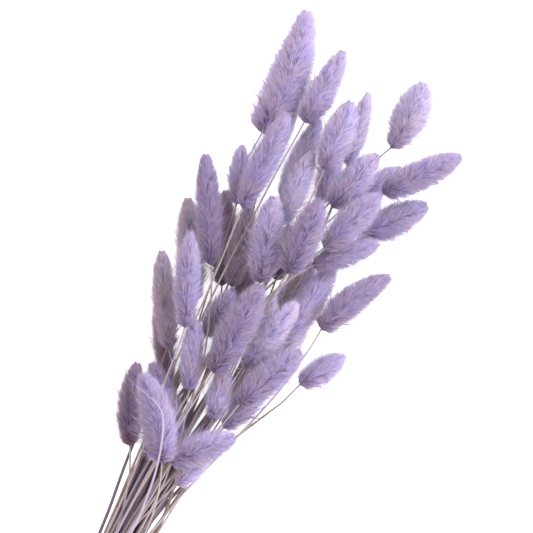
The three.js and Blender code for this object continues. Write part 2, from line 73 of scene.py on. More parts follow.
class Tone(Enum):
    """How light a head's down is: partly its own dye, partly painted shade on heads lying under others and
    painted light on the palest.
    """

    PALEST_LIT = "faded"
    PALE = "pale"
    LILAC = "lilac"
    MAUVE = "mauve"
    GREYED = "greyed"
    SLATE = "slate"
    DEEP_SHADED = "deep"


# Which heads take which tone: the darkest tones are partly painted shade, where heads lie under others, and
# the palest partly painted light.
TONES: dict[Tone, tuple[int, ...]] = {
    Tone.PALEST_LIT: (16, 20, 21, 37, 40, 44),
    Tone.PALE: (19, 24, 32, 35, 36, 43, 45),
    Tone.MAUVE: (3, 9, 14, 27, 28, 29, 30, 38, 47),
    Tone.GREYED: (6, 8, 10),
    Tone.SLATE: (7, 13, 18, 25, 41),
    Tone.DEEP_SHADED: (5, 11, 12, 26, 46),
}


# Heads with awns that stand out to one side: to which one, as an angle round the spine, and how many.
LEFT, RIGHT = 0.0, math.pi
SIDE_AWNS: dict[int, tuple[float, int]] = {
    1: (LEFT, 26),
    14: (LEFT, 34),
    23: (LEFT, 16),
    29: (RIGHT, 14),
    39: (RIGHT, 12),
    41: (RIGHT, 16),
}


def tone_of(number: int) -> Tone:
    """The tone of a head.

    Args:
        number: the head's number.

    Returns:
        Its tone, lilac for all that no other tone lists.
    """
    listed = (tone for tone, numbers in TONES.items() if number in numbers)
    return next(listed, Tone.LILAC)


def normalised(vectors: np.ndarray) -> np.ndarray:
    """Vectors along the last axis, each brought to length 1."""
    return vectors / np.maximum(np.linalg.norm(vectors, axis=-1, keepdims=True), 1e-12)


def turned(side: np.ndarray, top: np.ndarray, turn: np.ndarray) -> np.ndarray:
    """The directions at angles round a line, counted from its side over its top."""
    return np.cos(turn)[..., None] * side + np.sin(turn)[..., None] * top


def side_and_top(along: np.ndarray, hint: Triple) -> tuple[np.ndarray, np.ndarray]:
    """The directions to the side and to the top of a line that never runs along the hint."""
    side = normalised(np.cross(hint, along))
    return side, np.cross(along, side)


def run_along(path: np.ndarray) -> np.ndarray:
    """How far along a path (n, 3) each of its places lies."""
    return np.concatenate([[0], np.cumsum(np.linalg.norm(np.diff(path, axis=0), axis=1))])


def places_at(at: np.ndarray, run: np.ndarray, path: np.ndarray) -> np.ndarray:
    """The places at shares or runs along a path, whose own places lie at those in run."""
    return np.column_stack([np.interp(at, run, column) for column in path.T])


def three_along(root: np.ndarray, tip: np.ndarray, share: float) -> np.ndarray:
    """Values at the root, in the middle and at the tip of hairs, with the middle a share of the way."""
    return np.stack([root, root + share * (tip - root), tip], axis=1)


def drawn(rng: Draw, count: int, values: np.ndarray, weights: np.ndarray) -> np.ndarray:
    """Draws values by weight.

    Args:
        rng: the random draw.
        count: how many to draw.
        values: rising values.
        weights: how often each comes up.

    Returns:
        The draws, spread evenly between the values.
    """
    sums = np.cumsum(weights)
    return np.interp(rng.random(count) * sums[-1], sums, values)


def deselect_all() -> None:
    """Leaves nothing selected, so that an operator acts on a new primitive alone."""
    bpy.ops.object.select_all(action="DESELECT")


def taken_apart(primitive: bpy.types.Object) -> tuple[np.ndarray, np.ndarray]:
    """Reads a primitive and removes it.

    Args:
        primitive: the object.

    Returns:
        Its corner places (n, 3) and its faces (m, 4), -1 where a face has no fourth corner.
    """
    places = np.array([vertex.co for vertex in primitive.data.vertices])
    faces = np.array([[*face.vertices, -1][:4] for face in primitive.data.polygons])
    bpy.data.objects.remove(primitive)
    return places, faces


def merged_mesh(name: str) -> tuple[np.ndarray, np.ndarray]:
    """Reads a CAD node with its doubled corners merged.

    Args:
        name: the node.

    Returns:
        Its corner places (n, 3) and its triangles (m, 3).
    """
    mesh = frame["nodes"][name].data
    places = np.empty(len(mesh.vertices) * 3)
    mesh.vertices.foreach_get("co", places)
    mesh.calc_loop_triangles()
    corners = np.empty(len(mesh.loop_triangles) * 3, dtype=np.int64)
    mesh.loop_triangles.foreach_get("vertices", corners)
    places = places.reshape(-1, 3)
    _, first, index = np.unique(np.round(places, 7), axis=0, return_index=True, return_inverse=True)
    return places[first], index.reshape(-1)[corners].reshape(-1, 3)


@dataclass
class HeadShape:
    """The spine and the girth of one head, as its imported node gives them.

    The spine bows from foot to tip, and the girth swells and shrinks along it.
    """

    foot: np.ndarray
    tip: np.ndarray
    bow: np.ndarray
    half_girth: float
    fullest: float
    rounding: float = 0.37  # the smaller, the blunter the ends
    ends: Span = (0.004, 0.992)  # between which the girth changes, so that it never shrinks to nothing
    steepest: float = 1.5  # slope of the outline that the shading follows

    @classmethod
    def of_node(cls, name: str, tie: np.ndarray) -> "HeadShape":
        """Measures a head's node, whose corners lie on the tips of its tufts and in the valleys between.

        Args:
            name: the node.
            tie: the middle of the tie, which the foot lies nearer to than the tip.

        Returns:
            The shape, with the place of the greatest girth that fits the corners best.
        """
        places, _ = merged_mesh(name)
        apart = np.linalg.norm(places[:, None] - places[None], axis=-1)
        one, two = np.unravel_index(apart.argmax(), apart.shape)
        foot, tip = sorted((places[one], places[two]), key=lambda end: np.linalg.norm(end - tie))
        along = tip - foot
        share = (places - foot) @ along / (along @ along)
        off = places - foot - share[:, None] * along
        weight = 4 * share * (1 - share)
        bow = (weight[:, None] * off).sum(0) / (weight**2).sum()
        reach = np.linalg.norm(off - weight[:, None] * bow, axis=1)
        inner = (share > 0.1) & (share < 0.9)
        valley = 0.7  # the reach of a valley, as a share of a tuft's
        best = (np.inf, 0.0, 0.0)
        for fullest in np.linspace(0.26, 0.56, 31):
            guess = cls(foot, tip, bow, 1.0, float(fullest))
            girths = reach[inner] / guess.swell(share[inner])
            outer = float(np.percentile(girths, 85))
            misses = np.minimum(abs(girths - outer), abs(girths - valley * outer)).sum() / outer
            best = min(best, (float(misses), outer, float(fullest)))
        return cls(foot, tip, bow, best[1], best[2])

    @property
    def length(self) -> float:
        """The distance from foot to tip."""
        return float(np.linalg.norm(self.tip - self.foot))

    def swell(self, t: np.ndarray) -> np.ndarray:
        """The share of the full girth at shares t of the way from foot to tip."""
        power = math.log(0.5) / math.log(self.fullest)
        return np.sin(np.pi * np.clip(t, *self.ends) ** power) ** self.rounding

    def spine(self, t: np.ndarray) -> np.ndarray:
        """The places on the middle line at shares t."""
        t = np.asarray(t)[..., None]
        return self.foot + t * (self.tip - self.foot) + 4 * t * (1 - t) * self.bow

    def cross(self, t: np.ndarray) -> tuple[np.ndarray, np.ndarray, np.ndarray]:
        """The directions of the spine.

        Args:
            t: shares of the way from foot to tip.

        Returns:
            The directions along it, to its side and to its top.
        """
        t = np.asarray(t)[..., None]
        along = normalised(self.tip - self.foot + 4 * (1 - 2 * t) * self.bow)
        side, top = side_and_top(along, UP)
        return along, side, top

    def place(self, t: np.ndarray, turn: np.ndarray, reach: np.ndarray) -> np.ndarray:
        """Places around the spine.

        Args:
            t: shares of the way from foot to tip.
            turn: angles around the spine.
            reach: shares of the girth there, 1 on the outline.

        Returns:
            The places, none of them below the floor.
        """
        _, side, top = self.cross(t)
        out = turned(side, top, turn)
        places = self.spine(t) + (reach * self.half_girth * self.swell(t))[..., None] * out
        places[..., 2] = np.maximum(places[..., 2], FLOOR_GAP)
        return places

    def outward(self, t: np.ndarray, turn: np.ndarray) -> np.ndarray:
        """The directions square to the outline.

        Args:
            t: shares of the way from foot to tip.
            turn: angles around the spine.

        Returns:
            The directions.
        """
        step = 0.01
        along, side, top = self.cross(t)
        rise = (self.swell(t + step) - self.swell(t - step)) * self.half_girth / (2 * step * self.length)
        slope = np.clip(rise, -self.steepest, self.steepest)
        return normalised(turned(side, top, turn) - slope[..., None] * along)


@dataclass
class MeshParts:
    """Corners, faces, map places and normals of a mesh in the making."""

    places: list[np.ndarray] = field(default_factory=list)
    faces: list[np.ndarray] = field(default_factory=list)
    map_places: list[np.ndarray] = field(default_factory=list)
    normals: list[np.ndarray] = field(default_factory=list)
    tints: list[np.ndarray] = field(default_factory=list)
    count: int = 0

    def add(
        self,
        places: np.ndarray,
        faces: np.ndarray,
        map_places: np.ndarray,
        normals: np.ndarray | None = None,
        tint: float | np.ndarray = 0.5,
    ) -> None:
        """Adds a block of corners and faces.

        Args:
            places: corner places (n, 3).
            faces: corner numbers within the block (m, 3 or 4), -1 where a face has no fourth corner.
            map_places: a map place for each corner (n, 2).
            normals: a shading normal for each corner (n, 3), or none for the mesh's own.
            tint: the tint of the block or of each corner, for materials that read one.
        """
        if faces.shape[1] == 3:
            faces = np.column_stack([faces, np.full(len(faces), -1)])
        self.places.append(places)
        self.faces.append(np.where(faces < 0, -1, faces + self.count))
        self.map_places.append(map_places)
        self.normals.append(np.zeros_like(places) if normals is None else normals)
        self.tints.append(np.broadcast_to(tint, len(places)))
        self.count += len(places)

    def build(self, name: str, smooth: bool = True) -> bpy.types.Object:
        """Makes the mesh and its object.

        Args:
            name: the name of both.
            smooth: whether its faces are shaded smooth.

        Returns:
            The object, at the origin.
        """
        places = np.concatenate(self.places)
        faces = np.concatenate(self.faces)
        map_places = np.concatenate(self.map_places)
        normals = np.concatenate(self.normals)
        sides = (faces >= 0).sum(1)
        corners = faces[faces >= 0]
        mesh = bpy.data.meshes.new(name)
        mesh.vertices.add(len(places))
        mesh.vertices.foreach_set("co", places.ravel())
        mesh.loops.add(len(corners))
        mesh.loops.foreach_set("vertex_index", corners.astype(np.int32))
        mesh.polygons.add(len(faces))
        starts = np.concatenate([[0], np.cumsum(sides)[:-1]])
        mesh.polygons.foreach_set("loop_start", starts.astype(np.int32))
        mesh.polygons.foreach_set("use_smooth", np.full(len(faces), smooth))
        mesh.update(calc_edges=True)
        layer = mesh.uv_layers.new(name=BAKE_MAP)
        layer.data.foreach_set("uv", map_places[corners].ravel())
        tint = mesh.attributes.new("tint", "FLOAT", "POINT")
        tint.data.foreach_set("value", np.concatenate(self.tints))
        if np.any(normals):
            mesh.normals_split_custom_set_from_vertices(normals)
        piece = bpy.data.objects.new(name, mesh)
        bpy.context.scene.collection.objects.link(piece)
        return piece


# The faces of a hair, each by its corners and then by the same corners turned over.
RIBBON = (((0, 1, 2, 3), (3, 2, 1, 0)), ((3, 2, 4, -1), (2, 3, 4, -1)))
BLADE = (((0, 1, 2, -1), (1, 0, 2, -1)),)


@dataclass
class Fibres:
    """Fine flat hairs, each with a root, a middle and a tip, that narrow to a point.

    A plain one is a single blade from root to tip, without the middle.
    """

    centres: np.ndarray
    normals: np.ndarray
    widths: np.ndarray
    rolls: np.ndarray
    columns: np.ndarray
    plain: bool = False
    column_width: float = 1 / 320
    waist: float = 0.88  # of a hair at its middle, as a share of its width at the root

    def add_to(self, parts: MeshParts) -> None:
        """Lays a quad from the root to the middle of each hair and a triangle to its tip, or only a triangle.

        Args:
            parts: the mesh in the making.
        """
        root, middle, tip = (self.centres[:, i] for i in range(3))
        along = normalised(tip - root)
        flat = normalised(np.cross(along, self.normals[:, 1]))
        half = turned(flat, np.cross(flat, along), self.rolls) * self.widths[:, None] / 2
        waist = self.waist * half
        corners = np.stack([root - half, root + half, middle + waist, middle - waist, tip], axis=1)
        corners[..., 2] = np.maximum(corners[..., 2], FLOOR_GAP)
        held = [0, 1, 4] if self.plain else [0, 1, 2, 3, 4]
        level = np.array([0, 0, 1, 1, 2])[held]
        u = self.columns[:, None] + self.column_width * np.array([-0.5, 0.5, 0.5, -0.5, 0.0])[held]
        v = np.broadcast_to(level / 2, u.shape)
        first = len(held) * np.arange(len(root))[:, None]
        flips = np.sum(np.cross(half, along) * self.normals[:, 1], axis=1) < 0
        faces = []
        for face, turned_over in BLADE if self.plain else RIBBON:
            rows = np.where(flips[:, None], turned_over, face)
            faces.append(np.where(rows < 0, -1, rows + first))
        parts.add(
            corners[:, held].reshape(-1, 3),
            np.concatenate(faces),
            np.stack([u, v], axis=-1).reshape(-1, 2),
            self.normals[:, level].reshape(-1, 3),
        )


@dataclass(frozen=True)
class Layer:
    """One layer of a head's coat."""

    reach: Span  # of the clumps' tips, as shares of the girth
    width: float  # of a hair at its root
    plain: bool = False


@dataclass
class Clumps:
    """What each hair of a layer takes from the clump that it grows in."""

    t: np.ndarray  # the share of the way from foot to tip
    turn: np.ndarray  # the angle around the spine
    reach: np.ndarray
    lean: np.ndarray
    tone: np.ndarray
    growth: np.ndarray


@dataclass
class FluffyHead:
    """One head: a slim core, a thick coat of hairs in small clumps, and a few long awns.

    What isn't a length is a share of the head's length or girth, or an angle around its spine.
    """

    number: int
    shape: HeadShape
    finish: bpy.types.Material
    hairs: int
    side_awns: tuple[float, int] = (0.0, 0)  # the angle at which they stand out, and how many
    core_reach: float = 0.42
    core_start: float = 0.06
    core_length: float = 0.86
    root_depth: float = 0.06  # below the core's surface
    clump_size: int = 3
    least_clumps: int = 12
    clump_spread: float = 0.22 * MM
    gather: float = 0.45  # by which the tips of a clump draw together
    crowding: Span = (1.3, 0.8)  # how many more hairs stand at the foot and at the tip
    top_share: float = 0.35  # by which hairs stand closer on top, and wider below
    parting: float = 0.45  # how far the hairs on top lean to either side of the spine
    clump_lean: float = 0.06
    own_lean: float = 0.1
    clump_tone: float = 0.04  # by which clumps differ in their place across the map
    own_tone: float = 0.005
    hair_length: float = 5.7 * MM
    clump_growth: Span = (0.88, 1.12)
    own_growth: Span = (0.7, 1.25)
    foot_growth: float = 0.26  # of the hairs at the foot, as a share of their full length
    short_span: float = 0.16  # up from the foot, over which they gain their full length
    over_tip: float = 2.2 * MM
    end_span: float = 0.08  # at the foot and at the tip, where the hairs spread wider
    foot_flare: float = 0.2
    tip_flare: float = 0.15
    tip_closing: float = 0.85  # by which the last hairs close in over the tip
    uneven_reach: float = 0.06
    bend_at: float = 0.62  # of the way along a hair, where its middle lies
    bend_turn: float = 0.55
    stray_share: float = 0.36
    stray_reach: Span = (0.04, 0.16)  # beyond the coat: the least, and the mean of what is added
    stray_length: float = 2.2 * MM  # by which they are longer, at most
    stray_width: float = 0.65
    under_share: float = 0.33
    under: Layer = Layer((0.76, 0.92), 0.34 * MM, plain=True)
    upper: Layer = Layer((0.9, 1.04), 0.17 * MM)
    awns: int = 50
    awn_width: float = 0.36 * MM
    awn_roots: Span = (0.0, 0.9)
    side_awn_roots: Span = (0.02, 0.6)
    awn_start: float = 0.6  # the reach of their roots
    awn_bend: float = 0.2
    awn_length: Span = (7 * MM, 14 * MM)
    side_awn_length: Span = (4 * MM, 11 * MM)
    side_awn_reach: Span = (1.5 * MM, 7 * MM)
    side_awn_spread: float = 0.35  # round the side that they stand out to
    lift: float = 0.35  # by which the hairs catch the light from above, as thin down lets it through
    glints: float = 0.28  # by which they catch it unevenly

    @staticmethod
    def column_at(t: np.ndarray) -> np.ndarray:
        """Where a share t of the way from foot to tip lies across the map."""
        return 0.06 + 0.84 * t

    def parted(self, turn: np.ndarray) -> np.ndarray:
        """How far the hairs at angles round the spine lean away from its top, towards angle 0."""
        aside = np.cos(turn)
        return self.parting * np.maximum(np.sin(turn), 0) * aside / (abs(aside) + 0.25)

    def core(self, parts: MeshParts) -> None:
        """Adds the core, shaped from a sphere.

        Args:
            parts: the mesh in the making.
        """
        deselect_all()
        bpy.ops.mesh.primitive_uv_sphere_add(segments=14, ring_count=16, radius=0.5, location=(0, 0, 0.5))
        bpy.ops.object.transform_apply(location=True)
        places, faces = taken_apart(bpy.context.object)
        height = places[:, 2]
        t = np.arccos(np.clip(1 - 2 * height, -1, 1)) / np.pi * self.core_length + self.core_start
        turn = np.arctan2(places[:, 1], places[:, 0])
        reach = np.where(np.minimum(height, 1 - height) < 1e-6, 0.0, self.core_reach)
        # painted shade: the core takes the dark colour of the hairs' roots, deep in the coat
        near_root = 0.02 + 0.06 * (turn / (2 * np.pi) + 0.5)
        map_places = np.column_stack([self.column_at(t), near_root])
        parts.add(self.shape.place(t, turn, reach), faces, map_places, self.shape.outward(t, turn))

    def clumps(self, rng: Draw, count: int, reach: Span) -> Clumps:
        """Spreads clumps evenly over the core and deals out hairs to them.

        Args:
            rng: the random draw.
            count: how many hairs.
            reach: the least and the greatest reach of a clump's tips, as shares of the girth.

        Returns:
            What each hair takes from its clump.
        """
        clumps = max(count // self.clump_size, self.least_clumps)
        shares = np.linspace(-0.01, 0.98, 100)
        at_foot, at_tip = self.crowding
        weights = self.shape.swell(shares) + at_foot * (shares < 0.05) + at_tip * (shares > 0.9)
        turns = np.linspace(-np.pi / 2, 1.5 * np.pi, 121)
        every = (
            drawn(rng, clumps, shares, weights),
            drawn(rng, clumps, turns, 1 + self.top_share * np.sin(turns)),
            rng.uniform(*reach, clumps),
            rng.normal(0, self.clump_lean, clumps),
            rng.normal(0, self.clump_tone, clumps),
            rng.uniform(*self.clump_growth, clumps),
        )
        own = rng.integers(0, clumps, count)
        return Clumps(*(values[own] for values in every))

    def tips(self, rng: Draw, clump: Clumps, root_t: np.ndarray) -> tuple[np.ndarray, np.ndarray, np.ndarray]:
        """Sets where hairs end.

        Args:
            rng: the random draw.
            clump: what the hairs take from their clumps.
            root_t: where they grow, as shares of the way from foot to tip.

        Returns:
            The shares and the reach of their tips, and which of them stray out of the coat.
        """
        count = len(root_t)
        length = self.shape.length
        rise = np.clip(root_t / self.short_span, 0, 1)
        grow = self.hair_length * clump.growth * rng.uniform(*self.own_growth, count)
        grow = grow * (self.foot_growth + (1 - self.foot_growth) * rise) / length
        room = 1.0 + self.over_tip * rng.random(count) ** 2 / length - root_t
        tip_t = root_t + grow * (1 - np.exp(-np.maximum(room, 0.01) / grow))
        reach = clump.reach + rng.normal(0, self.uneven_reach, count)
        stray = rng.random(count) < self.stray_share
        least, added = self.stray_reach
        reach = np.where(stray, reach + least + rng.exponential(added, count), reach)
        tip_t = np.where(stray, tip_t + rng.uniform(0, self.stray_length, count) / length, tip_t)
        at_tip = np.clip((tip_t - (1 - self.end_span)) / self.end_span, 0, 1)
        at_foot = np.clip(1 - tip_t / self.end_span, 0, 1)
        reach = reach * (1 + self.tip_flare * at_tip + self.foot_flare * at_foot)
        closing = self.tip_closing * at_tip * rng.random(count) ** 3
        return tip_t, reach * (1 - closing), stray

    def grown(self, rng: Draw, count: int, layer: Layer) -> Fibres:
        """Grows one layer of the coat.

        Args:
            rng: the random draw.
            count: how many hairs.
            layer: the layer.

        Returns:
            The hairs.
        """
        shape = self.shape
        clump = self.clumps(rng, count, layer.reach)
        radius = np.maximum(shape.half_girth * shape.swell(clump.t) * 0.8, MM)
        root_t = clump.t + rng.normal(0, self.clump_spread, count) / shape.length
        root_turn = clump.turn + rng.normal(0, self.clump_spread, count) / radius
        lean = clump.lean + rng.normal(0, self.own_lean, count) - self.parted(clump.turn)
        tip_turn = root_turn + self.gather * (clump.turn - root_turn) + lean
        tip_t, tip_reach, stray = self.tips(rng, clump, root_t)
        root_reach = np.full(count, self.core_reach - self.root_depth)
        t = three_along(root_t, tip_t, self.bend_at)
        turn = three_along(root_turn, tip_turn, self.bend_turn)
        reach = three_along(root_reach, tip_reach, self.bend_at)
        normals = shape.outward(t, turn) + [0, 0, self.lift] + rng.normal(0, self.glints, (count, 1, 3))
        columns = self.column_at(clump.t) + clump.tone + rng.normal(0, self.own_tone, count)
        columns = np.where(stray, STRAY_COLUMN, np.clip(columns, 0.01, 0.92))
        widths = layer.width * rng.uniform(0.7, 1.3, count) * np.where(stray, self.stray_width, 1.0)
        rolls = rng.normal(0, 0.5, count)
        places = shape.place(t, turn, reach)
        return Fibres(places, normalised(normals), widths, rolls, columns, layer.plain)

    def awn_fibres(self, rng: Draw) -> Fibres:
        """Grows the few long awns that stand out of the coat, all round and to one side.

        Args:
            rng: the random draw.

        Returns:
            The awns.
        """
        shape = self.shape
        side, more = self.side_awns
        count = self.awns + more
        beside = np.arange(count) >= self.awns
        roots = (rng.uniform(*self.side_awn_roots, count), rng.uniform(*self.awn_roots, count))
        root_t = np.where(beside, *roots)
        near_side = rng.normal(side, self.side_awn_spread, count)
        root_turn = np.where(beside, near_side, rng.uniform(0, 2 * np.pi, count))
        lengths = (rng.uniform(*self.side_awn_length, count), rng.uniform(*self.awn_length, count))
        tip_t = root_t + np.where(beside, *lengths) / shape.length
        tip_t = np.where(beside, tip_t, np.minimum(tip_t, 1.02 + rng.uniform(0, 0.05, count)))
        bend = rng.normal(0, self.awn_bend, count)
        far = 1.05 + rng.uniform(*self.side_awn_reach, count) / shape.half_girth
        out = np.where(beside, far, 1.1 + rng.exponential(0.3, count))
        t = three_along(root_t, tip_t, 0.5)
        turn = three_along(root_turn, root_turn + bend, 0.3)
        reach = three_along(np.full(count, self.awn_start), out, 0.6)
        widths = self.awn_width * rng.uniform(0.8, 1.3, count)
        columns = np.full(count, STRAY_COLUMN)
        rolls = rng.normal(0, 0.8, count)
        return Fibres(shape.place(t, turn, reach), shape.outward(t, turn), widths, rolls, columns)

    def build(self) -> bpy.types.Object:
        """Builds and dresses the head.

        Returns:
            The finished piece.
        """
        rng = np.random.default_rng(self.number)
        parts = MeshParts()
        self.core(parts)
        under = int(self.hairs * self.under_share)
        self.grown(rng, under, self.under).add_to(parts)
        self.grown(rng, self.hairs - under, self.upper).add_to(parts)
        self.awn_fibres(rng).add_to(parts)
        piece = parts.build(f"fluffy_head_{self.number}")
        piece.data.materials.append(self.finish)
        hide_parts(f"head_{self.number}")
        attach(piece, "root")
        return piece


@dataclass
class StemLine:
    """The middle line of one stem, from its cut end to its head."""

    places: np.ndarray
    bare: bool = False
    level: float = 0.5  # from the lowest stem of the bunch, 0, to the highest, 1
    aside: float = 0.0  # from the middle of the bunch, 0, to its left or right edge, 1

    def middle_past(self, start: float, end: float) -> np.ndarray:
        """Its mean place between two places along Y."""
        held = (self.places[:, 1] > start) & (self.places[:, 1] < end)
        return self.places[held].mean(0)


def rank_stems(lines: list[StemLine], start: float, end: float) -> None:
    """Gives each stem its level and how far aside it lies.

    Args:
        lines: the stems.
        start: the place along Y from which they are compared.
        end: the place along Y up to which they are compared.
    """
    middles = np.array([line.middle_past(start, end) for line in lines])
    levels = middles[:, 2].argsort().argsort() / (len(lines) - 1)
    left, right = middles[:, 0].min(), middles[:, 0].max()
    for line, middle, level in zip(lines, middles, levels):
        line.level = float(level)
        line.aside = float(abs(2 * middle[0] - left - right) / (right - left))


class StrandReader:
    """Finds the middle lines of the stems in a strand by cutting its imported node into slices."""

    slice_step = 2 * MM
    free_from = 42 * MM  # past the tie, where the stems of a strand have parted
    top_gap = 0.3 * MM  # from the strand's top down to the first slice
    widest_step = 3 * MM  # between the middles of one stem in two slices
    half_tie = 6 * MM
    pitch = 1.0 * MM  # of the stems within the tie
    widening = 0.006 / MM  # of the bunch behind the tie
    uneven_cut = 9 * MM
    near_head = 4 * MM  # a stem that ends further from any head than this is bare

    def __init__(self, name: str, tie: np.ndarray) -> None:
        """Reads the node.

        Args:
            name: the strand's node.
            tie: the middle of the tie.
        """
        self.name = name
        self.tie = tie
        self.places, self.triangles = merged_mesh(name)

    def section(self, y: float) -> np.ndarray:
        """Cuts the strand square to Y.

        Args:
            y: where.

        Returns:
            The middle (x, z) of each closed outline in the cut.
        """
        above = self.places[:, 1] > y
        crossing = self.triangles[np.ptp(above[self.triangles].astype(int), axis=1) > 0]
        owner: dict[tuple[int, int], tuple[int, int]] = {}

        def root_of(edge: tuple[int, int]) -> tuple[int, int]:
            """Finds the edge that stands for an outline.

            Args:
                edge: any edge that the outline crosses.

            Returns:
                The edge that stands for it.
            """
            while owner[edge] != edge:
                edge = owner[edge]
            return edge

        for triangle in crossing:
            pairs = [tuple(sorted((int(triangle[i]), int(triangle[i - 1])))) for i in range(3)]
            cut = [pair for pair in pairs if above[pair[0]] != above[pair[1]]]
            for edge in cut:
                owner.setdefault(edge, edge)
            owner[root_of(cut[0])] = root_of(cut[1])
        outlines: dict[tuple[int, int], list[np.ndarray]] = {}
        for edge in owner:
            one, two = self.places[edge[0]], self.places[edge[1]]
            share = (y - one[1]) / (two[1] - one[1])
            outlines.setdefault(root_of(edge), []).append((one + share * (two - one))[[0, 2]])
        middles = [(np.min(points, axis=0) + np.max(points, axis=0)) / 2 for points in outlines.values()]
        return np.array(middles).reshape(-1, 2)

    def free_lines(self) -> list[np.ndarray]:
        """Follows each stem from its head down to where it meets the others.

        Returns:
            For each stem its places, from the top down.
        """
        top = self.places[:, 1].max() - self.top_gap
        levels = np.arange(top, self.tie[1] + self.free_from, -self.slice_step)
        lines: list[list[np.ndarray]] = []
        for y in levels:
            middles = list(self.section(float(y)))
            for line in lines:
                last = line[-1][[0, 2]]
                slope = last - line[-2][[0, 2]] if len(line) > 1 else np.zeros(2)
                guess = last + slope
                gaps = [np.linalg.norm(middle - guess) for middle in middles]
                close = gaps and min(gaps) < self.widest_step
                found = middles.pop(int(np.argmin(gaps))) if close else guess
                line.append(np.array([found[0], y, found[1]]))
            lines.extend([np.array([middle[0], y, middle[1]])] for middle in middles)
        return [np.array(line) for line in sorted(lines, key=len)[-4:]]

    def lines(self, feet: np.ndarray, rng: Draw) -> list[StemLine]:
        """The whole middle lines.

        Args:
            feet: the feet of all heads (n, 3).
            rng: the random draw, for the cut ends.

        Returns:
            One line for each stem.
        """
        free = self.free_lines()
        front = self.tie[1] + self.half_tie
        back = self.tie[1] - self.half_tie
        low = self.places[:, 1].min()
        middle = self.section(self.tie[1])[0]
        half = self.pitch / 2
        corners = np.array([(-half, -half), (half, -half), (half, half), (-half, half)])
        aims = []
        for line in free:
            slope = (line[-1] - line[-6]) / (line[-1][1] - line[-6][1])
            aims.append((line[-1] + slope * (front - line[-1][1]))[[0, 2]] - middle)
        orders = permutations(range(4), len(free))
        order = min(orders, key=lambda o: sum(((corners[k] - aims[i]) ** 2).sum() for i, k in enumerate(o)))
        axis = self.tie[[0, 2]]
        found = []
        for line, corner in zip(free, order):
            at = middle + corners[corner]
            cut = low + rng.uniform(0, self.uneven_cut)
            spread = 1 + (back - cut) * self.widening
            ends = axis + (at - axis) * spread
            lower = [(ends[0], cut, ends[1]), (at[0], back, at[1]), (at[0], front, at[1])]
            gaps = np.linalg.norm(feet - line[0], axis=1)
            bare = gaps.min() > self.near_head
            upper = [] if bare else [feet[gaps.argmin()]]
            found.append(StemLine(np.array([*lower, *line[::-1], *upper]), bare))
        return found


def straight_rod(sides: int, cuts: int) -> tuple[np.ndarray, np.ndarray]:
    """Models a straight rod, 1 long and 1 in radius, from a cylinder.

    Args:
        sides: how many sides it has.
        cuts: how many cuts go across it, evenly along its length.

    Returns:
        Its corner places (n, 3) and its faces (m, 4), -1 where a face has no fourth corner.
    """
    deselect_all()
    bpy.ops.mesh.primitive_cylinder_add(
        vertices=sides, radius=1, depth=1, end_fill_type="TRIFAN", location=(0, 0, 0.5)
    )
    rod = bpy.context.object
    bpy.ops.object.transform_apply(location=True)
    bpy.ops.object.mode_set(mode="EDIT")
    bpy.ops.mesh.select_mode(type="EDGE")
    bpy.ops.mesh.select_all(action="DESELECT")
    bpy.ops.object.mode_set(mode="OBJECT")
    for edge in rod.data.edges:
        low, high = (rod.data.vertices[i].co.z for i in edge.vertices)
        edge.select = abs(low - high) > 0.5
    bpy.ops.object.mode_set(mode="EDIT")
    bpy.ops.mesh.subdivide(number_cuts=cuts)
    bpy.ops.object.mode_set(mode="OBJECT")
    return taken_apart(rod)


def laid_rod(
    straight: np.ndarray,
    path: np.ndarray,
    share: np.ndarray,
    hint: Triple,
    half_width: np.ndarray,
    half_height: np.ndarray,
) -> np.ndarray:
    """Lays a straight rod along a path.

    Args:
        straight: the rod's corners, 1 long and 1 in radius.
        path: places along the path (n, 3).
        share: the share of the rod's length that lies at each of them.
        hint: a direction that the path never takes, which sets what is up across it.
        half_width: half of the rod's width at each corner.
        half_height: half of its height at each corner.

    Returns:
        The corners' places.
    """
    step = 1.5 / len(path)
    at = straight[:, 2]
    ahead = places_at(np.minimum(at + step, 1), share, path)
    behind = places_at(np.maximum(at - step, 0), share, path)
    side, top = side_and_top(normalised(ahead - behind), hint)
    across = (half_width * straight[:, 0])[:, None] * side
    upward = (half_height * straight[:, 1])[:, None] * top
    return places_at(at, share, path) + across + upward


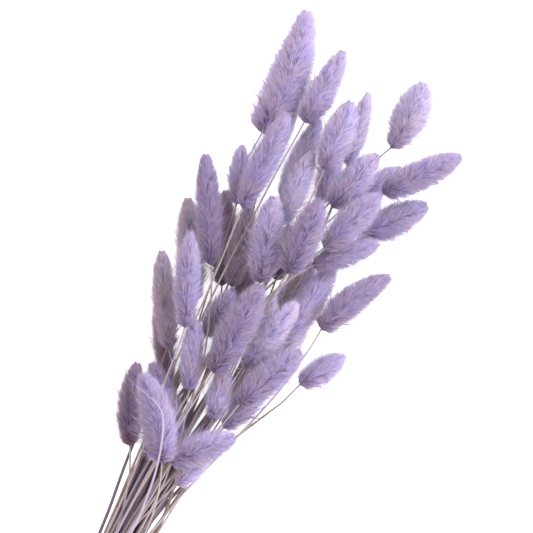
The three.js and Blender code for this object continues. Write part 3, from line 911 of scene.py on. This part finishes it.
@dataclass
class Stems:
    """The dry stems of one strand, each modelled as a round stalk that is laid along its line.

    The low ones carry a dark, flat sheet round their lower part, wider in the middle of the bunch: painted
    shade between the stems.
    """

    number: int
    lines: list[StemLine]
    finish: bpy.types.Material
    radius: float = 0.74 * MM
    own_radius: Span = (0.85, 1.12)  # of a stem, as shares of the radius
    taper: Span = (1.16, 0.6)  # at its cut end and at its head
    bare_taper: Triple = (1.0, 0.5, 0.12)  # over the last stretch of the bare stem
    bare_stretch: Triple = (34 * MM, 22 * MM, 0.0)  # down from its end
    sides: int = 8
    cuts: int = 88
    path_step: float = 2 * MM
    smoothing: int = 7  # places to either side over which a line is evened out
    bare_smoothing: int = 3
    sway: float = 0.35 * MM
    waves: Span = (2, 9)  # of the sway, along a stem
    held_by_tie: Span = (60 * MM, 100 * MM)  # up from the cut end, the stretch where the sway sets in
    held_by_head: float = 30 * MM
    into_head: float = 4 * MM
    joint_at: Span = (0.12, 0.5)
    joint_swell: float = 0.3
    joint_length: float = 0.006  # as a share of the stem's
    tints: Span = (0.04, 0.95)  # the darkest and the palest
    shaded_low_tint: float = 0.14  # of the lowest stems in the middle of the bunch, dark as painted shade
    level_light: float = 0.6  # added for the highest ones, at their edge and towards their heads; for the highest and outer ones it is painted light
    edge_light: float = 0.12
    head_tint: float = 0.45
    paling: Span = (0.45, 0.75)  # the stretch over which a stem pales towards its head
    uneven_tint: float = 0.18
    # A dark, flat sheet round the lower part of the low stems: painted shade where the stems lie close.
    shade_sheeted_level: float = 0.6
    shade_sheet_width: Span = (0.9, 1.9)
    shade_sheet_start: Span = (80 * MM, 100 * MM)  # up from the cut end, where it widens
    shade_sheet_until: Span = (190 * MM, 230 * MM)  # somewhere in here it starts to narrow
    shade_sheet_end: Span = (235 * MM, 270 * MM)  # and in here it runs out
    shade_sheet_shade: float = 0.6
    edge_narrowing: float = 0.8  # of the painted shade sheets at the bunch's left and right edge
    edge_paling: float = 0.6
    # The places of the tendril: how far to the right, how far up and how much higher than the stem's end.
    tendril: tuple[Triple, ...] = (
        (-3.0 * MM, 5.5 * MM, 0.3 * MM),
        (-7.5 * MM, 9.5 * MM, 0.2 * MM),
        (-13.0 * MM, 13.5 * MM, -0.6 * MM),
        (-20.0 * MM, 19.5 * MM, -2.0 * MM),
    )

    def laid(self, line: StemLine, rng: Draw) -> tuple[np.ndarray, np.ndarray]:
        """Evens out a line and lets it sway a little.

        Args:
            line: the stem's middle line.
            rng: the random draw.

        Returns:
            Places along it, evenly spaced, and the shares of its length at which they lie.
        """
        places = line.places
        if line.bare:
            places = np.vstack([places, self.curl(places[-1])])
        run = run_along(places)
        even = np.arange(0, run[-1], self.path_step)
        even[-1] = run[-1]
        path = places_at(even, run, places)
        window = self.bare_smoothing if line.bare else self.smoothing
        padded = np.pad(path, ((window, window), (0, 0)), mode="reflect", reflect_type="odd")
        kernel = np.ones(2 * window + 1) / (2 * window + 1)
        path = np.column_stack([np.convolve(column, kernel, mode="valid") for column in padded.T])
        share = even / run[-1]
        free = np.interp(even, self.held_by_tie, [0, 1])
        free = free * np.clip((run[-1] - even) / self.held_by_head, 0, 1)
        for axis in (0, 2):
            waves = rng.uniform(*self.waves, 3)
            phases = rng.uniform(0, 2 * np.pi, 3)
            wave = sum(np.sin(2 * np.pi * w * share + p) for w, p in zip(waves, phases)) / 3
            path[:, axis] += self.sway * free * wave
        if not line.bare:
            path = np.vstack([path, path[-1] + self.into_head * normalised(path[-1] - path[-4])])
            share = np.append(share * 0.99, 1.0)
        path[:, 2] = np.maximum(path[:, 2], self.radius + FLOOR_GAP)
        return path, share

    def curl(self, end: np.ndarray) -> np.ndarray:
        """Places the fine tendril in which the bare stem runs out.

        Args:
            end: where the stem ends.

        Returns:
            Places along the tendril.
        """
        right = np.array([math.cos(LEAN), math.sin(LEAN), 0.0])
        up = np.array([-math.sin(LEAN), math.cos(LEAN), 0.0])
        return np.array([end + x * right + y * up + [0, 0, z] for x, y, z in self.tendril])

    def profile(
        self, line: StemLine, at: np.ndarray, length: float, rng: Draw
    ) -> tuple[np.ndarray, np.ndarray, np.ndarray]:
        """Gives one stem its girth and its tint.

        Args:
            line: the stem.
            at: shares of the way from its cut end.
            length: how long it is.
            rng: the random draw.

        Returns:
            Half its width, half its height and its tint at each share.
        """
        thick = self.radius * rng.uniform(*self.own_radius) * np.interp(at, [0, 1], self.taper)
        joint = (at - rng.uniform(*self.joint_at)) / self.joint_length
        thick = thick * (1 + self.joint_swell * np.exp(-(joint**2)))
        # Painted shade and light: the low stems in the middle are darker, the high ones and those at the edge
        # paler.
        own_tint = self.shaded_low_tint + self.level_light * line.level + self.edge_light * line.aside
        own_tint = own_tint + rng.normal(0, self.uneven_tint)
        upper = np.interp(at, self.paling, [0, 1])
        tint = np.clip(own_tint + self.head_tint * upper, *self.tints)
        reach = rng.uniform(*self.shade_sheet_width) * (1 - self.edge_narrowing * line.aside)
        ends = [*self.shade_sheet_start, rng.uniform(*self.shade_sheet_until), rng.uniform(*self.shade_sheet_end)]
        if line.bare:
            stretch = length - np.array(self.bare_stretch)
            thick = thick * np.interp(at * length, stretch, self.bare_taper)
            return thick, thick, np.ones_like(at)
        # Below a level, a stem gets the dark, flat sheet: painted shade between the low stems.
        if line.level >= self.shade_sheeted_level:
            return thick, thick, tint
        shade_sheet = np.interp(at * length, ends, [0, 1, 1, 0])
        shade = self.shade_sheet_shade * shade_sheet * (1 - self.edge_paling * line.aside)
        return thick * (1 + reach * shade_sheet), thick, tint * (1 - shade)

    def build(self) -> bpy.types.Object:
        """Builds and dresses the stems of the strand.

        Returns:
            The finished piece.
        """
        rng = np.random.default_rng(500 + self.number)
        straight, faces = straight_rod(self.sides, self.cuts)
        parts = MeshParts()
        x, y, at = straight.T
        cut_end = (np.hypot(x, y) < 0.1) & ~np.isclose(at, 1)
        turn = (np.arctan2(y, x) / (2 * np.pi) + 0.5) * 0.9
        for index, line in enumerate(self.lines):
            path, share = self.laid(line, rng)
            half_width, half_height, tint = self.profile(line, at, run_along(path)[-1], rng)
            places = laid_rod(straight, path, share, UP, half_width, half_height)
            map_places = np.column_stack([(index + 0.05 + turn) / len(self.lines), at])
            parts.add(places, faces, map_places, tint=np.where(cut_end, 0.0, tint))
        piece = parts.build(f"stems_{self.number}")
        piece.data.materials.append(self.finish)
        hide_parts(f"strand_{self.number}")
        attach(piece, "root")
        return piece


@dataclass
class TwineTie:
    """Four turns of two-ply twine, knotted on top, with two short ends."""

    middle: np.ndarray
    finish: bpy.types.Material
    clear: float = 6.95 * MM  # the radius within the turns
    thick: float = 2.0 * MM
    pitch: float = 1.8 * MM
    turns: int = 4
    pressed: float = 0.2 * MM  # flat against the floor
    cord_gap: float = 0.05 * MM  # between the cord and the floor
    ply_gap: float = 0.02 * MM  # between the ridges of its plies and the floor
    knot_size: float = 1.15 * MM
    knot_gap: float = 0.5 * MM  # by which the knot stands above the turns
    ends: tuple[Span, ...] = ((18 * MM, 11 * MM), (-16 * MM, 17 * MM))
    ply_radius: float = 0.56 * MM
    ply_step: float = 0.5 * MM
    ply_sides: int = 7
    twist: float = 5.5 * MM  # for one full turn of the plies
    yarn_step: float = 0.4 * MM  # of the ridges on a ply
    yarn_height: float = 0.08  # as a share of the ply's radius
    fuzz_width: float = 0.09 * MM

    @property
    def height(self) -> float:
        """The height of the tie's middle over the floor."""
        return self.clear + self.thick - self.pressed

    @property
    def top(self) -> float:
        """The height of the top of the turns over the floor."""
        return self.height + self.clear + self.thick

    def wound(self) -> np.ndarray:
        """Winds the turns, from the knot round the stems and back to the knot.

        Returns:
            Places along them.
        """
        share = np.linspace(0, 1, 260)
        angle = math.pi / 2 - 2 * math.pi * self.turns * share
        radius = self.clear + self.thick / 2
        x = radius * np.cos(angle)
        y = self.pitch * self.turns * (share - 0.5)
        z = np.maximum(self.height + radius * np.sin(angle), self.thick / 2 + self.cord_gap)
        return np.column_stack([x, y, z])

    def knot(self) -> np.ndarray:
        """Ties a small overhand knot on top of the turns, as a flattened trefoil.

        Returns:
            Places along it.
        """
        s = np.linspace(-0.5, 2 * math.pi - 0.6, 70)
        x = self.knot_size * (np.sin(s) + 1.5 * np.sin(2 * s)) * 0.8
        y = self.knot_size * (np.cos(s) - 1.5 * np.cos(2 * s)) * 0.75
        z = self.top + self.knot_gap - self.knot_size * 0.7 * np.sin(3 * s)
        return np.column_stack([x, y, z])

    def end(self, reach: float, back: float) -> np.ndarray:
        """Lets an end of the twine hang from the knot to the floor.

        Args:
            reach: how far it reaches to the side.
            back: how far it reaches towards the cut ends.

        Returns:
            Places along it.
        """
        top = self.top
        shares = [0, 0.28, 0.6, 0.85, 1]
        heights = [top, top + 0.8 * MM, top - 2.5 * MM, top - 10 * MM, self.thick / 2 + 0.5 * MM]
        s = np.linspace(0, 1, 60)
        smoothing = 5
        padded = np.pad(np.interp(s, shares, heights), smoothing, mode="edge")
        kernel = np.ones(2 * smoothing + 1) / (2 * smoothing + 1)
        return np.column_stack([reach * s, -back * s, np.convolve(padded, kernel, mode="valid")])

    def cord(self, parts: MeshParts, path: np.ndarray, hint: Triple) -> None:
        """Lays the two twisted plies along a path.

        Args:
            parts: the mesh in the making.
            path: places along the middle of the cord, seen from the tie.
            hint: a direction that the path never takes.
        """
        run = run_along(path)
        length = run[-1]
        even = np.linspace(0, length, max(int(length / self.ply_step), 8))
        path = places_at(even, run, path) + [self.middle[0], self.middle[1], 0]
        side, top = side_and_top(normalised(np.gradient(path, axis=0)), hint)
        offset = self.thick / 2 - self.ply_radius
        straight, faces = straight_rod(self.ply_sides, len(even) - 2)
        at = straight[:, 2]
        around = np.arctan2(straight[:, 1], straight[:, 0])
        for ply in (0, 1):
            centre = path + offset * turned(side, top, 2 * np.pi * even / self.twist + np.pi * ply)
            yarns = self.yarn_height * np.sin(at * length / self.yarn_step + 3 * around + ply)
            thick = self.ply_radius * (1 + yarns) * np.interp(at, [0, 0.01, 0.99, 1], [0.7, 1, 1, 0.7])
            places = laid_rod(straight, centre, even / length, hint, thick, thick)
            places[:, 2] = np.maximum(places[:, 2], self.ply_gap)
            map_places = np.column_stack([at, (around / (2 * np.pi) + 0.5) * 0.4 + 0.5 * ply])
            parts.add(places, faces, map_places)
        self.fuzz_on(parts, path)

    def fuzz_on(self, parts: MeshParts, path: np.ndarray) -> None:
        """Adds the loose ends of fibres that stand out of the twine.

        Args:
            parts: the mesh in the making.
            path: places along the middle of the cord.
        """
        rng = np.random.default_rng(len(path))
        count = len(path) // 2
        own = rng.integers(1, len(path) - 1, count)
        along = normalised(path[own + 1] - path[own - 1])
        out = normalised(np.cross(along, rng.normal(0, 1, (count, 3))))
        root = path[own] + 0.8 * self.thick / 2 * out
        middle = root + 0.5 * MM * out + rng.normal(0, 0.6, (count, 1)) * MM * along
        length = rng.uniform(0.2, 1.2, (count, 1)) * MM
        tip = middle + length * (along + 0.5 * out + rng.normal(0, 0.3, (count, 3)))
        centres = np.stack([root, middle, tip], axis=1)
        normals = np.repeat(out[:, None], 3, axis=1)
        widths = np.full(count, self.fuzz_width)
        Fibres(centres, normals, widths, rng.normal(0, 1, count), np.full(count, 0.5)).add_to(parts)

    def build(self) -> bpy.types.Object:
        """Builds and dresses the tie.

        Returns:
            The finished piece.
        """
        parts = MeshParts()
        self.cord(parts, self.wound(), (0.0, 1.0, 0.0))
        self.cord(parts, self.knot(), UP)
        for reach, back in self.ends:
            self.cord(parts, self.end(reach, back), UP)
        piece = parts.build("twine_tie")
        piece.data.materials.append(self.finish)
        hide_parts("tie")
        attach(piece, "root")
        return piece


def fill(node: bpy.types.Node, inputs: Inputs) -> None:
    """Links or sets inputs of a node.

    Args:
        node: the node.
        inputs: the sockets and values by the inputs that they go into.
    """
    for name, value in inputs.items():
        if isinstance(value, Socket):
            node.id_data.links.new(value, node.inputs[name])
        else:
            node.inputs[name].default_value = value


def add_node(tree: Tree, kind: str, inputs: Inputs | None = None) -> bpy.types.Node:
    """Places a node.

    Args:
        tree: the nodes that it joins.
        kind: its kind.
        inputs: what goes into it, if anything.

    Returns:
        The node.
    """
    node = tree.nodes.new(kind)
    fill(node, inputs or {})
    return node


def new_material(name: str) -> tuple[bpy.types.Material, bpy.types.Node]:
    """Makes an empty material with a Principled shader.

    Args:
        name: the material's name.

    Returns:
        The material and its shader.
    """
    material = bpy.data.materials.new(name)
    material.use_nodes = True
    shader = next(node for node in material.node_tree.nodes if node.type == "BSDF_PRINCIPLED")
    return material, shader


def drift_group() -> bpy.types.ShaderNodeTree:
    """The shared effect of a colour that takes unevenly: a factor round 1 that drifts.

    Returns:
        The node group, with a place, a scale and a strength going in and a factor coming out.
    """
    name = "uneven_colour"
    if name in bpy.data.node_groups:
        return bpy.data.node_groups[name]
    group = bpy.data.node_groups.new(name, "ShaderNodeTree")
    group.interface.new_socket(name="Place", in_out="INPUT", socket_type="NodeSocketVector")
    for label in ("Scale", "Strength"):
        group.interface.new_socket(name=label, in_out="INPUT", socket_type="NodeSocketFloat")
    group.interface.new_socket(name="Factor", in_out="OUTPUT", socket_type="NodeSocketFloat")
    given = group.nodes.new("NodeGroupInput").outputs
    noise_inputs = {"Vector": given["Place"], "Scale": given["Scale"], "Detail": 2.0}
    noise = add_node(group, "ShaderNodeTexNoise", noise_inputs)
    middle = add_node(group, "ShaderNodeMath", {0: noise.outputs["Fac"], 1: 0.5})
    middle.operation = "SUBTRACT"
    scaled = add_node(group, "ShaderNodeMath", {0: middle.outputs[0], 1: given["Strength"], 2: 1.0})
    scaled.operation = "MULTIPLY_ADD"
    add_node(group, "NodeGroupOutput", {"Factor": scaled.outputs[0]})
    return group


def add_drift(tree: Tree, place: Socket, scale: float, strength: float) -> Socket:
    """Places the shared uneven colour in a material.

    Args:
        tree: the material's nodes.
        place: what the drift runs along.
        scale: how fine it is.
        strength: how strong it is.

    Returns:
        The factor that comes out.
    """
    node = tree.nodes.new("ShaderNodeGroup")
    node.node_tree = drift_group()
    fill(node, {"Place": place, "Scale": scale, "Strength": strength})
    return node.outputs["Factor"]


def add_ramp(tree: Tree, factor: Socket, stops: Stops) -> Socket:
    """Places a colour ramp.

    Args:
        tree: the material's nodes.
        factor: what the ramp reads.
        stops: places and colours.

    Returns:
        The colour that comes out.
    """
    ramp = add_node(tree, "ShaderNodeValToRGB", {"Fac": factor})
    elements = ramp.color_ramp.elements
    while len(elements) < len(stops):
        elements.new(0.5)
    for element, (position, colour) in zip(elements, stops):
        element.position = position
        element.color = (*colour, 1.0)
    return ramp.outputs["Color"]


def add_product(tree: Tree, colour: Socket, *factors: Socket) -> Socket:
    """Multiplies a colour by other colours or factors.

    Args:
        tree: the material's nodes.
        colour: the colour.
        factors: what it is multiplied by.

    Returns:
        The product.
    """
    for factor in factors:
        node = add_node(tree, "ShaderNodeMix", {"Factor": 1.0})
        node.data_type = "RGBA"
        node.blend_type = "MULTIPLY"
        one, two = (socket for socket in node.inputs if socket.type == "RGBA")
        tree.links.new(colour, one)
        tree.links.new(factor, two)
        colour = next(socket for socket in node.outputs if socket.type == "RGBA")
    return colour


def add_map(tree: Tree) -> Socket:
    """Places the map along which a piece's colours run.

    Args:
        tree: the material's nodes.

    Returns:
        The place on the map.
    """
    node = tree.nodes.new("ShaderNodeUVMap")
    node.uv_map = BAKE_MAP
    return node.outputs["UV"]


def srgb(red: int, green: int, blue: int) -> Triple:
    """A colour as the eye sees it, from 0 to 255, in linear light."""
    shares = (red / 255, green / 255, blue / 255)
    return tuple(s / 12.92 if s <= 0.04045 else ((s + 0.055) / 1.055) ** 2.4 for s in shares)


@dataclass(frozen=True)
class FluffFinish:
    """Soft dyed down. Its colour runs from root to tip of each hair, from painted shade deep in the coat to
    painted light on the tips, and from foot to tip of the head, with painted shade at the foot.
    """

    name: str
    body: Triple
    # Painted shade: the roots are darker, where the coat shades itself. Painted light: the tips are paler,
    # where light comes through the thin down.
    shaded_root_share: Triple = (0.42, 0.33, 0.47)
    lit_tip_share: Triple = (1.42, 1.5, 1.33)
    body_at: float = 0.45  # of a hair's length
    brightest: float = 0.93
    # painted shade at the foot of the head, where its stem goes in
    painted_foot_shade: float = 0.74
    stray_shade: float = 0.84
    stretch: Triple = (90.0, 1.5, 1.0)  # of the uneven dye, which changes from hair to hair
    unevenness: float = 1.95
    patches: float = 105.0  # how fine the patches of hue are
    rosy: Triple = (1.05, 0.995, 0.93)
    bluish: Triple = (0.95, 0.96, 1.08)

    def shared(self, share: Triple) -> Triple:
        """The body colour times a share of it, no brighter than chalk."""
        return tuple(min(colour * part, self.brightest) for colour, part in zip(self.body, share))

    def shades(self) -> Stops:
        """Sets how the colour changes along the head, with painted shade at its foot, and for the hairs that
        stray out of it.

        Returns:
            Places across the map, and what the colour is multiplied by there.
        """
        foot, stray = self.painted_foot_shade, self.stray_shade
        return (
            (0.04, (1.08 * foot, 0.9 * foot, foot)),
            (0.16, (0.95, 0.91, 0.93)),
            (0.5, (1.0, 1.0, 1.0)),
            (STRAY_COLUMN - 0.04, (1.0, 1.0, 1.0)),
            (STRAY_COLUMN - 0.02, (stray, 0.96 * stray, stray)),
        )

    def material(self) -> bpy.types.Material:
        """Makes the material.

        Returns:
            The material. It reads the piece's own map, where the head runs across and its hairs run up, and
            for the patches of hue the place on the piece.
        """
        material, shader = new_material(self.name)
        tree = material.node_tree
        own_map = add_map(tree)
        split = add_node(tree, "ShaderNodeSeparateXYZ", {"Vector": own_map}).outputs
        # painted shade at the roots of the hairs, painted light at their tips
        root, tip = self.shared(self.shaded_root_share), self.shared(self.lit_tip_share)
        hair = add_ramp(tree, split["Y"], ((0.0, root), (self.body_at, self.body), (1.0, tip)))
        along = add_ramp(tree, split["X"], self.shades())
        stretched = add_node(tree, "ShaderNodeMapping", {"Vector": own_map, "Scale": self.stretch})
        drift = add_drift(tree, stretched.outputs["Vector"], 1.0, self.unevenness)
        place = add_node(tree, "ShaderNodeTexCoord").outputs["Object"]
        noise = {"Vector": place, "Scale": self.patches, "Detail": 3.0}
        patches = add_node(tree, "ShaderNodeTexNoise", noise).outputs["Fac"]
        hue = add_ramp(tree, patches, ((0.34, self.rosy), (0.66, self.bluish)))
        fill(shader, {
            "Base Color": add_product(tree, hair, along, drift, hue),
            "Roughness": 0.9,
            "Specular IOR Level": 0.15,
            "Sheen Weight": 0.5,
            "Sheen Roughness": 0.5,
        })
        return material


@dataclass(frozen=True)
class StrawFinish:
    """Dry straw: plum brown, grey lilac, beige and olive stems, streaked along their length; its darkest
    tones, taken by the low stems, are painted shade.
    """

    name: str = "dry_straw"
    tones: Stops = (
        (0.0, srgb(58, 48, 52)),
        (0.14, srgb(84, 70, 74)),
        (0.28, srgb(108, 96, 114)),
        (0.4, srgb(122, 107, 112)),
        (0.52, srgb(138, 122, 120)),
        (0.64, srgb(136, 123, 102)),
        (0.74, srgb(156, 141, 142)),
        (0.84, srgb(150, 138, 164)),
        (0.93, srgb(172, 158, 148)),
        (1.0, srgb(182, 170, 192)),
    )
    stretch: Triple = (18.0, 3.0, 1.0)

    def material(self) -> bpy.types.Material:
        """Makes the material.

        Returns:
            The material, which reads the tint of each stem and the piece's own map.
        """
        material, shader = new_material(self.name)
        tree = material.node_tree
        tint = add_node(tree, "ShaderNodeAttribute")
        tint.attribute_name = "tint"
        base = add_ramp(tree, tint.outputs["Fac"], self.tones)
        stretched = add_node(tree, "ShaderNodeMapping", {"Vector": add_map(tree), "Scale": self.stretch})
        streaks = add_drift(tree, stretched.outputs["Vector"], 4.0, 0.7)
        colour = add_product(tree, base, streaks)
        fill(shader, {"Base Color": colour, "Roughness": 0.62, "Specular IOR Level": 0.35})
        return material


@dataclass(frozen=True)
class TwineFinish:
    """Natural jute twine, with lighter and darker fibres."""

    name: str = "jute_twine"
    dark: Triple = srgb(128, 98, 62)
    light: Triple = srgb(196, 166, 122)
    fibres: float = 900.0  # how fine they are
    relief: float = 0.2 * MM

    def material(self) -> bpy.types.Material:
        """Makes the material.

        Returns:
            The material, which reads the place on the piece.
        """
        material, shader = new_material(self.name)
        tree = material.node_tree
        place = add_node(tree, "ShaderNodeTexCoord").outputs["Object"]
        noise = {"Vector": place, "Scale": self.fibres, "Detail": 3.0}
        fibres = add_node(tree, "ShaderNodeTexNoise", noise).outputs["Fac"]
        base = add_ramp(tree, fibres, ((0.3, self.dark), (0.7, self.light)))
        colour = add_product(tree, base, add_drift(tree, place, 240.0, 0.5))
        bump = add_node(tree, "ShaderNodeBump", {"Distance": self.relief, "Height": fibres})
        fill(shader, {"Base Color": colour, "Normal": bump.outputs["Normal"], "Roughness": 0.9})
        return material


@dataclass
class Studio:
    """The pale floor, the soft light and the camera, straight above and turned as the bunch leans."""

    tie: np.ndarray
    floor_size: float = 8.0
    floor_glow: float = 0.7
    sky: Triple = (1.07, 0.93, 0.9)
    sky_strength: float = 0.9
    key: Triple = (0.78, 0.87, 1.0)
    key_strength: float = 4.05
    key_spread: float = math.radians(80)
    key_tilt: float = math.radians(48)
    key_turn: float = math.radians(35)  # from the picture's right towards its top
    view_height: float = 1.1
    frame_width: float = 0.568 * MM * 533
    film_width: float = 36.0
    middle_from_tie: Span = (13.815 * MM, 274.735 * MM)

    def floor(self) -> None:
        """Lays a wide plain floor."""
        deselect_all()
        bpy.ops.mesh.primitive_plane_add(size=self.floor_size, location=(0, 0, 0))
        floor = bpy.context.object
        floor.name = "floor"
        material, shader = new_material("pale_floor")
        tree = material.node_tree
        place = add_node(tree, "ShaderNodeTexCoord").outputs["Object"]
        drift = add_drift(tree, place, 3.0, 0.02)
        white = add_ramp(tree, drift, ((0.0, (0.9, 0.9, 0.9)), (1.0, (0.93, 0.93, 0.93))))
        fill(shader, {
            "Base Color": white,
            "Roughness": 0.9,
            "Emission Color": (1.0, 1.0, 1.0, 1.0),
            "Emission Strength": self.floor_glow,
        })
        floor.data.materials.append(material)

    def light(self) -> None:
        """Sets a faintly rosy sky and a cool, soft key light from the picture's right."""
        world = bpy.data.worlds.new("studio")
        bpy.context.scene.world = world
        world.use_nodes = True
        sky = next(node for node in world.node_tree.nodes if node.type == "BACKGROUND")
        fill(sky, {"Color": (*self.sky, 1.0), "Strength": self.sky_strength})
        key = bpy.data.lights.new("key", "SUN")
        key.energy = self.key_strength
        key.angle = self.key_spread
        key.color = self.key
        lamp = bpy.data.objects.new("key", key)
        lamp.rotation_euler = (0, self.key_tilt, LEAN + self.key_turn)
        bpy.context.scene.collection.objects.link(lamp)
        bpy.context.scene.view_settings.view_transform = "Standard"

    def camera(self) -> None:
        """Sets the camera, turned so that the bunch leans as in the photo."""
        data = bpy.data.cameras.new("camera")
        data.sensor_width = self.film_width
        data.lens = self.film_width * self.view_height / self.frame_width
        data.clip_end = 20
        camera = bpy.data.objects.new("camera", data)
        x, y = (self.tie[i] + self.middle_from_tie[i] for i in range(2))
        camera.location = (x, y, self.view_height)
        camera.rotation_euler = (0, 0, LEAN)
        bpy.context.scene.collection.objects.link(camera)
        bpy.context.scene.camera = camera


# The finishes of the tones: partly the heads' own dye, partly painted shade in the darkest and painted light
# in the palest.
FLUFFS: dict[Tone, FluffFinish] = {
    Tone.PALEST_LIT: FluffFinish("fluff_palest_lit", srgb(230, 216, 248)),
    Tone.PALE: FluffFinish("fluff_pale", srgb(208, 196, 229)),
    Tone.LILAC: FluffFinish("fluff_lilac", srgb(196, 182, 215)),
    Tone.MAUVE: FluffFinish("fluff_mauve", srgb(181, 167, 202)),
    Tone.GREYED: FluffFinish("fluff_greyed", srgb(184, 170, 187)),
    Tone.SLATE: FluffFinish("fluff_slate", srgb(167, 151, 183)),
    Tone.DEEP_SHADED: FluffFinish("fluff_deep_shaded", srgb(155, 134, 160)),
}


def numbers_of(kind: str) -> list[int]:
    """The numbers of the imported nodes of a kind, in order."""
    return sorted(int(name.split("_")[1]) for name in frame["nodes"] if name.startswith(kind + "_"))


def build_heads(shapes: dict[int, HeadShape], hairs_in_all: int) -> None:
    """Builds all heads and reports them.

    Args:
        shapes: their shapes by number.
        hairs_in_all: how many hairs they share, by their size.
    """
    areas = {number: shape.length * shape.half_girth for number, shape in shapes.items()}
    whole = sum(areas.values())
    fluffs = {tone: finish.material() for tone, finish in FLUFFS.items()}
    for number, shape in shapes.items():
        hairs = int(hairs_in_all * areas[number] / whole)
        beside = SIDE_AWNS.get(number, (0.0, 0))
        piece = FluffyHead(number, shape, fluffs[tone_of(number)], hairs, beside).build()
        long, wide = shape.length / MM, 2 * shape.half_girth / MM
        faces = len(piece.data.polygons)
        LOG.info("%s: %.1f mm long, %.1f mm wide, %d faces", piece.name, long, wide, faces)


def build_stems(feet: np.ndarray, tie: np.ndarray) -> None:
    """Builds all strands and reports them.

    Args:
        feet: the feet of all heads (n, 3).
        tie: the middle of the tie.
    """
    lines = {}
    for number in numbers_of("strand"):
        rng = np.random.default_rng(900 + number)
        lines[number] = StrandReader(f"strand_{number}", tie).lines(feet, rng)
    compared = (tie[1] + 95 * MM, tie[1] + 150 * MM)
    rank_stems([line for found in lines.values() for line in found], *compared)
    straw = StrawFinish().material()
    for number, found in lines.items():
        piece = Stems(number, found, straw).build()
        LOG.info("%s: %d stems, %d bare", piece.name, len(found), sum(line.bare for line in found))


def main() -> None:
    """Builds the bunch, its light and its camera."""
    logging.basicConfig(level=logging.INFO, format="%(message)s")
    rest = np.array(frame["record"]["mounts"][0]["pos_m"])
    behind_mount, height = 0.9 * MM, 8.75 * MM
    tie = np.array([rest[0], rest[1] - behind_mount, height])
    shapes = {number: HeadShape.of_node(f"head_{number}", tie) for number in numbers_of("head")}
    build_heads(shapes, HAIRS)
    build_stems(np.array([shape.foot for shape in shapes.values()]), tie)
    twine = TwineTie(tie, TwineFinish().material()).build()
    LOG.info("%s: %d faces", twine.name, len(twine.data.polygons))
    studio = Studio(tie)
    studio.floor()
    studio.light()
    studio.camera()


if __name__ == "__main__":
    main()
